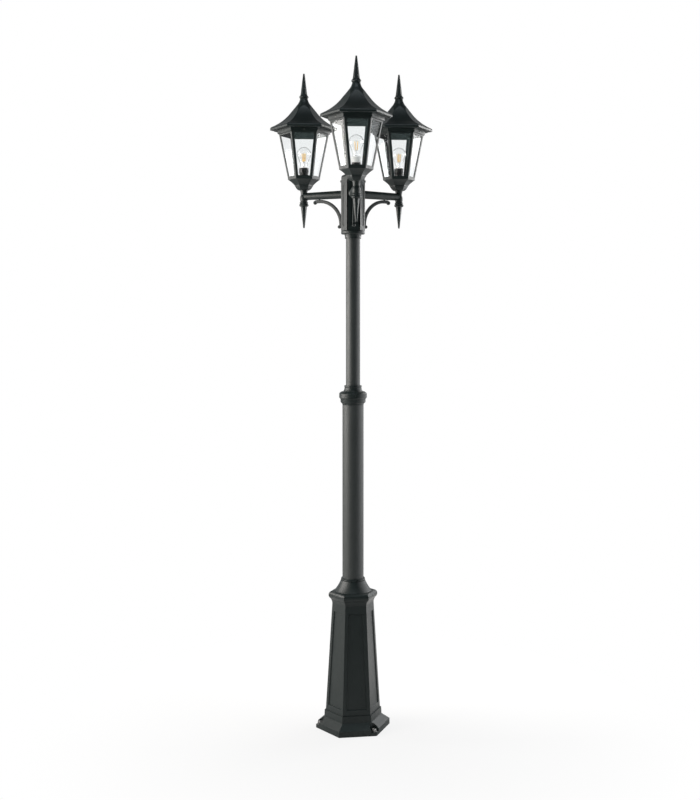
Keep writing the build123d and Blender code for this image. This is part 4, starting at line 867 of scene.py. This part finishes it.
# -------- the lanterns
@dataclass
class Bulb:
    """A clear filament bulb: envelope, glass stem, filament rods and their wires, about the Z axis."""

    foot: float
    top: float
    radius: float
    neck_radius: float = 13 * MM
    wall: float = 0.8 * MM
    shoulder: float = -28.0
    crown_end: float = 86.0
    crown_steps: int = 22
    sweep_steps: int = 12
    lean_share: float = 0.8
    glass_sides: int = 56
    stem_height: float = 28 * MM
    stem_foot_radius: float = 8 * MM
    stem_foot: tuple[Station, ...] = ((0.6, 0.3 * MM), (1.0, 0.3 * MM), (1.0, 2 * MM), (0.6, 5 * MM))
    stem_radius: float = 3.2 * MM
    stem_shank: float = 10 * MM
    stem_bead: float = 2 * MM
    stem_bead_share: float = 1.3
    stem_sides: int = 28
    rods: int = 4
    first_rod: float = 45.0
    rod_lift: float = 2 * MM
    rod_radius: float = 1.4 * MM
    rod_length: float = 34 * MM
    rod_foot_reach: float = 5.4 * MM
    rod_head_reach: float = 8.4 * MM
    rod_tip_share: float = 0.6
    rod_round_share: float = 0.4
    rod_sides: int = 12
    wire_radius: float = 0.35 * MM
    wire_sink: float = 1 * MM
    wire_peak: float = 5 * MM

    def envelope(self) -> Piece:
        """Models the glass: neck, a hollow sweep outwards and a round crown.

        Returns:
            The glass.
        """
        centre = self.top - self.radius
        crown = arc_stations(self.radius, centre, self.shoulder, self.crown_end, self.crown_steps)
        reach, level = crown[0]
        slope = sin(radians(-self.shoulder)) / cos(radians(-self.shoulder))
        sweep = []
        for step in range(self.sweep_steps):
            share = step / self.sweep_steps
            rise = self.foot + (level - self.foot) * share
            flare = share * share * (3 - 2 * share)
            lean = slope * (level - self.foot) * share * share * (share - 1)
            out = self.neck_radius + (reach - self.neck_radius) * flare + lean * self.lean_share
            sweep.append((out, rise))
        piece = turned([*sweep, *crown, (0, self.top)], self.glass_sides)
        shell = piece.modifiers.new("wall", "SOLIDIFY")
        shell.thickness = self.wall
        shell.offset = -1
        take_alone(piece)
        bpy.ops.object.modifier_apply(modifier=shell.name)
        bpy.ops.object.shade_smooth()
        return piece

    def stem(self) -> Piece:
        """Models the flared glass stem that carries the wires.

        Returns:
            The stem.
        """
        top = self.foot + self.stem_height
        flare = [(share * self.stem_foot_radius, self.foot + rise) for share, rise in self.stem_foot]
        shank = [
            (self.stem_radius, self.foot + self.stem_shank),
            (self.stem_radius, top - 2 * self.stem_bead),
            (self.stem_bead_share * self.stem_radius, top - self.stem_bead),
            (self.stem_radius, top),
            (0, top),
        ]
        return turned(flare + shank, self.stem_sides)

    def rod(self, start: Vector, end: Vector, radius: float) -> Piece:
        """Models a thin rod with rounded ends between two points.

        Args:
            start: one end.
            end: the other end.
            radius: the rod's radius.

        Returns:
            The rod.
        """
        length = (end - start).length
        round_end = self.rod_round_share * radius
        tip = self.rod_tip_share * radius
        rings = [(tip, 0), (radius, round_end), (radius, length - round_end), (tip, length), (0, length)]
        piece = turned(rings, self.rod_sides)
        turn = (end - start).to_track_quat("Z", "Y").to_matrix().to_4x4()
        piece.data.transform(Matrix.Translation(start) @ turn)
        return piece

    def ends(self) -> list[tuple[Vector, Vector]]:
        """Places the filament rods round the stem.

        Returns:
            The foot and the head of each rod.
        """
        low = self.foot + self.stem_height + self.rod_lift
        high = low + self.rod_length
        turns = [self.first_rod + 360 * n / self.rods for n in range(self.rods)]
        feet = [heading(turn, self.rod_foot_reach, low) for turn in turns]
        heads = [heading(turn, self.rod_head_reach, high) for turn in turns]
        return list(zip(feet, heads))

    def filament(self) -> Piece:
        """Models the amber rods."""
        return joined([self.rod(start, end, self.rod_radius) for start, end in self.ends()])

    def wires(self) -> Piece:
        """Models the wires from the stem to the rods' feet and between their heads.

        Returns:
            The wires.
        """
        stem_top = Vector((0, 0, self.foot + self.stem_height - self.wire_sink))
        peak = Vector((0, 0, self.foot + self.stem_height + self.rod_length + self.wire_peak))
        rods = [self.rod(stem_top, peak, self.wire_radius)]
        for start, end in self.ends():
            rods.append(self.rod(stem_top, start, self.wire_radius))
            rods.append(self.rod(peak, end, self.wire_radius))
        return joined(rods)


@dataclass
class HolderRing:
    """The ring that is screwed on the lampholder, with grip ribs round it."""

    foot: float
    top: float
    radius: float
    bore: float = 16.65 * MM
    lip_bore: float = 15.5 * MM
    lip_edge: float = 0.5 * MM
    lip_height: float = 1.8 * MM
    lip_slope: float = 0.1 * MM
    head_height: float = 2.5 * MM
    head_edge: float = 1 * MM
    ribs: int = 4
    rib_start: float = 1 * MM
    rib_margin: float = 4 * MM
    rib_shares: Point = (0.72, 0.82, 0.94)
    groove: float = 0.9 * MM
    sides: int = 56

    def build(self) -> Piece:
        """Models the ring as one closed turned shell.

        Returns:
            The ring.
        """
        pitch = (self.top - self.foot - self.rib_margin) / self.ribs
        crest_end, slope_end, groove_end = self.rib_shares
        rings = [(self.bore, self.foot), (self.radius - self.groove, self.foot)]
        for rib in range(self.ribs):
            low = self.foot + self.rib_start + rib * pitch
            rings += [
                (self.radius, low),
                (self.radius, low + crest_end * pitch),
                (self.radius - self.groove, low + slope_end * pitch),
                (self.radius - self.groove, low + groove_end * pitch),
            ]
        rings += [
            (self.radius, self.top - self.head_height),
            (self.radius, self.top - self.head_edge),
            (self.radius - self.head_edge, self.top),
            (self.lip_bore + self.lip_edge, self.top),
            (self.lip_bore, self.top - self.lip_edge),
            (self.lip_bore, self.top - self.lip_height),
            (self.bore, self.top - self.lip_height - self.lip_slope),
            (self.bore, self.foot),
        ]
        return turned(rings, self.sides, closed=True)


@dataclass
class RoofScrew:
    """A pan-head screw, along +Z from the skirt's face at level 0."""

    head_radius: float = 3.8 * MM
    head_height: float = 2.4 * MM
    rim_share: float = 0.45
    dome_turns: tuple[float, ...] = (0, 20, 40, 60, 75)
    dome_facing: float = 0.3
    shank_radius: float = 2 * MM
    shank: float = 8.9 * MM
    slot_width: float = 1.0 * MM
    slot_depth: float = 1.1 * MM
    sides: int = 32

    def build(self) -> Piece:
        """Models the screw and sinks its slot.

        Returns:
            The screw.
        """
        dome = []
        for turn in self.dome_turns:
            share = self.rim_share + (1 - self.rim_share) * sin(radians(turn))
            dome.append((self.head_radius * cos(radians(turn)), self.head_height * share))
        shank = [(self.shank_radius, -self.shank), (self.shank_radius, 0), (self.head_radius, 0)]
        piece = turned([*shank, *dome, (0, self.head_height)], self.sides)
        take_alone(piece)
        bpy.ops.object.mode_set(mode="EDIT")
        for side in (-1, 1):
            bpy.ops.mesh.select_all(action="SELECT")
            bpy.ops.mesh.bisect(plane_co=(side * self.slot_width / 2, 0, 0), plane_no=(1, 0, 0))
        bpy.ops.mesh.select_all(action="DESELECT")
        bpy.ops.object.mode_set(mode="OBJECT")
        for face in piece.data.polygons:
            inside = abs(face.center.x) < self.slot_width / 2 and face.center.z > dome[0][1]
            face.select = inside and face.normal.z > self.dome_facing
        bpy.ops.object.mode_set(mode="EDIT")
        bpy.ops.mesh.extrude_region_move(TRANSFORM_OT_translate={"value": (0, 0, -self.slot_depth)})
        bpy.ops.object.mode_set(mode="OBJECT")
        bpy.ops.object.shade_smooth_by_angle(angle=radians(TURNED_ANGLE))
        return piece


@dataclass
class Lantern:
    """One lantern with its arm, scroll and pendant."""

    side: Side
    casting_edge: float = 0.9 * MM
    fine_edge: float = 0.5 * MM
    roof_crease: float = 11.0
    rail_drop: float = 26 * MM
    rail_below: float = 6 * MM
    rail_above: float = 0.5 * MM
    window_lift: float = 10.5 * MM
    window_widening: float = 1.0205
    band_reach: float = 106.8 * MM
    skirt_reach: float = 98.7 * MM
    screw_directions: tuple[float, ...] = (180, 300, 60)
    left_screw_turn: float = 60

    def node(self, name: str) -> str:
        """The full name of this lantern's node."""
        return f"{self.side.title}_{name}"

    def axis(self) -> Vector:
        """The point on the ground under the lantern's axis."""
        low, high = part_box(self.node("bulb"))
        return Vector(((low.x + high.x) / 2, (low.y + high.y) / 2, 0))

    def stand(self, master: Piece, name: str, finish: Finish) -> Piece:
        """Sets a copy of a piece on the lantern's axis.

        Args:
            master: the piece about the Z axis.
            name: the copy's name, without the side.
            finish: what it is finished in.

        Returns:
            The copy.
        """
        place = Matrix.Translation(self.axis()) @ Matrix.Rotation(radians(self.side.value), 4, "Z")
        return settle(copy_at(master, place), self.node(name), finish, POST_BODY)

    def heighten_windows(self, cage: Piece) -> None:
        """Lifts the head rail's lower edge nearer to the roof's skirt, along the bars' slope.

        Args:
            cage: the cage's copy.
        """
        axis = self.axis()
        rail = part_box(self.node("cage"))[1].z - self.rail_drop
        bpy.ops.object.mode_set(mode="EDIT")
        bpy.ops.mesh.select_mode(type="VERT")
        for below_band, lift, widen in ((False, self.window_lift, 1.0), (True, 0.0, self.window_widening)):
            bpy.ops.mesh.select_all(action="DESELECT")
            bpy.ops.object.mode_set(mode="OBJECT")
            level = rail + (self.window_lift if below_band else 0)
            for corner in cage.data.vertices:
                near = level - self.rail_below < corner.co.z < level + self.rail_above
                arm = corner.co - axis
                corner.select = near and (not below_band or hypot(arm.x, arm.y) < self.band_reach)
            bpy.ops.object.mode_set(mode="EDIT")
            bpy.ops.transform.translate(value=(0, 0, lift))
            bpy.ops.transform.resize(value=(widen, widen, 1), center_override=(axis.x, axis.y, level))
        bpy.ops.object.mode_set(mode="OBJECT")

    def castings(self) -> None:
        """Rounds and paints the castings."""
        top = self.side.top_body
        edge, fine = self.casting_edge, self.fine_edge
        pieces = (
            ("bowl", POST_BODY, edge, EDGE_ANGLE, None),
            ("roof", top, edge, self.roof_crease, None),
            ("cage", POST_BODY, edge, EDGE_ANGLE, self.heighten_windows),
            ("arm", POST_BODY, fine, EDGE_ANGLE, None),
            ("scroll", POST_BODY, fine, EDGE_ANGLE, None),
            ("pendant", POST_BODY, fine, EDGE_ANGLE, None),
            ("roof_cap", top, fine, EDGE_ANGLE, None),
            ("finial", top, fine, EDGE_ANGLE, None),
        )
        for name, body, rounding, crease, shape in pieces:
            soften(self.node(name), body, rounding, crease, shape)

    def lamp(self, masters: dict[str, Piece]) -> None:
        """Sets the bulb's pieces and the holder's ring.

        Args:
            masters: the modelled pieces by name.
        """
        ring_finish = Finish.RING_WHITE if self.side is Side.FRONT else Finish.RING_BLACK
        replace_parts(self.stand(masters["envelope"], "bulb_glass", Finish.BULB), self.node("bulb"))
        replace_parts(self.stand(masters["filament"], "filament_rods", Finish.FILAMENT), self.node("filament"))
        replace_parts(self.stand(masters["ring"], "grip_ring", ring_finish), self.node("holder_ring"))
        self.stand(masters["stem"], "glass_stem", Finish.BULB)
        self.stand(masters["wires"], "support_wires", Finish.WIRE)
        dress(self.node("lampholder"), Finish.HOLDER)
        dress(self.node("bulb_cap"), Finish.CAP)

    def roof_screws(self, master: Piece) -> None:
        """Sets the three screws of the skirt where the node's solids are.

        Args:
            master: the screw, along +Z from the skirt's face.
        """
        low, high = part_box(self.node("roof_screws"))
        level = (low.z + high.z) / 2
        turn = self.left_screw_turn if self.side is Side.LEFT else 0
        placed = []
        for direction in self.screw_directions:
            facing = self.side.value + turn + direction
            centre = self.axis() + heading(facing, self.skirt_reach, level)
            lie = Matrix.Rotation(radians(facing), 4, "Z") @ Matrix.Rotation(radians(90), 4, "Y")
            placed.append(copy_at(master, Matrix.Translation(centre) @ lie))
        piece = settle(joined(placed), self.node("slotted_screws"), Finish.SCREW, self.side.top_body)
        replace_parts(piece, self.node("roof_screws"))

    def build(self, masters: dict[str, Piece]) -> None:
        """Dresses the lantern.

        Args:
            masters: the pieces that are modelled once for all the lanterns.
        """
        self.castings()
        dress(self.node("panes"), Finish.PANE)
        dress(self.node("gasket"), Finish.SEAL)
        self.lamp(masters)
        self.roof_screws(masters["screw"])


def lantern_masters() -> dict[str, Piece]:
    """Models what all the lanterns share, at the front lantern's levels.

    Returns:
        The pieces by name.
    """
    low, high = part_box("front_bulb")
    bulb = Bulb(foot=low.z, top=high.z, radius=(high.x - low.x) / 2)
    ring_low, ring_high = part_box("front_holder_ring")
    ring = HolderRing(foot=ring_low.z, top=ring_high.z, radius=(ring_high.x - ring_low.x) / 2)
    return {
        "envelope": bulb.envelope(),
        "stem": bulb.stem(),
        "filament": bulb.filament(),
        "wires": bulb.wires(),
        "ring": ring.build(),
        "screw": RoofScrew().build(),
    }


# -------- the studio
@dataclass
class Camera:
    """The photograph's camera: almost level, a little left of the front arm."""

    azimuth: float = -3.0
    distance: float = 4.832
    level: float = 1.7484
    tilt: float = 0.75
    aside: float = -0.0128
    lens: float = 51.3
    sensor: float = 36
    shift: float = -0.088

    def build(self) -> None:
        """Makes the camera and gives it to the scene."""
        camera = bpy.data.cameras.new("camera")
        camera.lens = self.lens
        camera.sensor_width = self.sensor
        camera.shift_y = self.shift
        turn = radians(self.azimuth)
        right = Vector((cos(turn), sin(turn), 0))
        stand = Vector((self.distance * sin(turn), -self.distance * cos(turn), self.level))
        holder = bpy.data.objects.new("camera", camera)
        holder.location = stand + right * self.aside
        holder.rotation_euler = (radians(90 - self.tilt), 0, turn)
        bpy.context.scene.collection.objects.link(holder)
        bpy.context.scene.camera = holder


@dataclass(frozen=True)
class Panel:
    """A soft rectangular lamp, with its width and height in metres and its power in watts."""

    name: str
    place: Point
    size: Span
    power: float
    colour: Colour

    def build(self, aim: Vector) -> None:
        """Makes the lamp.

        Args:
            aim: the point that it faces.
        """
        lamp = bpy.data.lights.new(self.name, "AREA")
        lamp.shape = "RECTANGLE"
        lamp.size, lamp.size_y = self.size
        lamp.energy = self.power
        lamp.color = self.colour
        holder = bpy.data.objects.new(self.name, lamp)
        holder.location = self.place
        holder.rotation_euler = (aim - Vector(self.place)).to_track_quat("-Z", "Y").to_euler()
        bpy.context.scene.collection.objects.link(holder)


PANELS = (
    Panel("left_panel", (-3.0, -0.2, 2.0), (3.0, 1.9), 160, (1.0, 0.96, 0.92)),
    Panel("right_panel", (2.9, 0.6, 1.7), (5.2, 3.2), 100, (0.98, 0.99, 1.0)),
    Panel("right_top", (2.2, 1.9, 2.85), (1.1, 1.1), 26, (1.0, 0.98, 0.96)),
    Panel("front_panel", (0.4, -5.2, 1.9), (3.6, 1.2), 8, (0.75, 1.0, 0.98)),
    Panel("top_panel", (0, -1.7, 5.1), (2.2, 1.3), 26, (0.84, 0.94, 1.0)),
)


@dataclass
class Studio:
    """White floor and surroundings, five soft panels, and a dim room in front and overhead."""

    aim_level: float = 1.5
    floor_radius: float = 14.0
    floor_sides: int = 96
    floor_colour: Colour = (0.6, 0.6, 0.6)
    shadow_start: float = 0.1
    shadow_reach: float = 1.4
    shadow_share: float = 0.2
    floor_glow: float = 1.1
    glow_colour: Colour = (1.0, 0.96, 0.93)
    glow_behind: Span = (-0.2, 0.9)
    glow_beside: Span = (-0.8, 0.8)
    glow_left_right: Span = (0.45, 1.3)
    glow_near: Span = (1.2, 2.6)
    glow_near_far: Span = (1.0, 0.1)
    sky_colour: Colour = (0.97, 0.98, 1.0)
    sky_depth: Span = (-0.2, 0.8)
    sky_front_back: Span = (0.02, 0.6)
    sky_height: Span = (0.3, 0.8)
    sky_low_high: Span = (1.0, 0.3)

    def floor(self) -> None:
        """Makes a round floor that shows white, with the object's shadow and a painted glow near the foot."""
        bpy.ops.object.select_all(action="DESELECT")
        size = {"vertices": self.floor_sides, "radius": self.floor_radius}
        bpy.ops.mesh.primitive_circle_add(**size, fill_type="NGON")
        floor = bpy.context.active_object
        floor.name = "floor"
        shading = Shading("floor_white")
        matte = shading.add("ShaderNodeBsdfDiffuse", Color=(*self.floor_colour, 1))
        white = shading.add("ShaderNodeEmission", Color=(1, 1, 1, 1), Strength=1.0)
        spot = shading.add("ShaderNodeSeparateXYZ", Vector=shading.place).outputs
        length = shading.add("ShaderNodeVectorMath", Vector=shading.place)
        length.operation = "LENGTH"
        reach = length.outputs["Value"]
        fade = shading.ranged(reach, (self.shadow_start, self.shadow_reach), (1 - self.shadow_share, 1.0))
        # painted glow on the floor: brightest behind the post, stronger to the right and fading away from it;
        # the post reflects it and the camera sees a little of it near the foot
        behind = shading.ranged(spot["Y"], self.glow_behind, (0.0, self.floor_glow))
        beside = shading.ranged(spot["X"], self.glow_beside, self.glow_left_right)
        near = shading.ranged(reach, self.glow_near, self.glow_near_far)
        glow = shading.maths("MULTIPLY", shading.maths("MULTIPLY", behind, beside), near)
        shine = shading.add("ShaderNodeEmission", Color=(*self.glow_colour, 1), Strength=glow)
        lit = shading.add("ShaderNodeAddShader")
        shading.feed(lit.inputs[0], matte.outputs[0])
        shading.feed(lit.inputs[1], shine.outputs[0])
        path = shading.add("ShaderNodeLightPath").outputs
        share = shading.maths("MULTIPLY", path["Is Camera Ray"], fade)
        floor.data.materials.append(shading.finish(shading.mixed(share, lit, white)))

    def surroundings(self) -> None:
        """Makes the world: white to the camera and through glass, and dim in front for reflections."""
        sky = Shading("surroundings", world=True)
        parts = sky.add("ShaderNodeSeparateXYZ", Vector=sky.place).outputs
        depth = sky.ranged(parts["Y"], self.sky_depth, self.sky_front_back, "SMOOTHSTEP")
        height = sky.ranged(parts["Z"], self.sky_height, self.sky_low_high, "SMOOTHSTEP")
        strength = sky.maths("MULTIPLY", depth, height)
        seen = sky.add("ShaderNodeBackground", Color=(*self.sky_colour, 1), Strength=strength)
        white = sky.add("ShaderNodeBackground", Color=(1, 1, 1, 1), Strength=1.0)
        path = sky.add("ShaderNodeLightPath").outputs
        either = sky.maths("MAXIMUM", path["Is Camera Ray"], path["Is Transmission Ray"])
        bpy.context.scene.world = sky.finish(sky.mixed(either, seen, white))

    def build(self) -> None:
        """Makes the floor, the world, the lamps and the camera."""
        self.floor()
        self.surroundings()
        for panel in PANELS:
            panel.build(Vector((0, 0, self.aim_level)))
        Camera().build()


def main() -> None:
    """Builds the post, then each lantern, then the studio."""
    view = bpy.context.scene.view_settings
    view.view_transform = "Standard"
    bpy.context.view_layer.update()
    Post().build()
    masters = lantern_masters()
    for side in Side:
        Lantern(side).build(masters)
    drop(*masters.values())
    Studio().build()


if __name__ == "__main__":
    main()
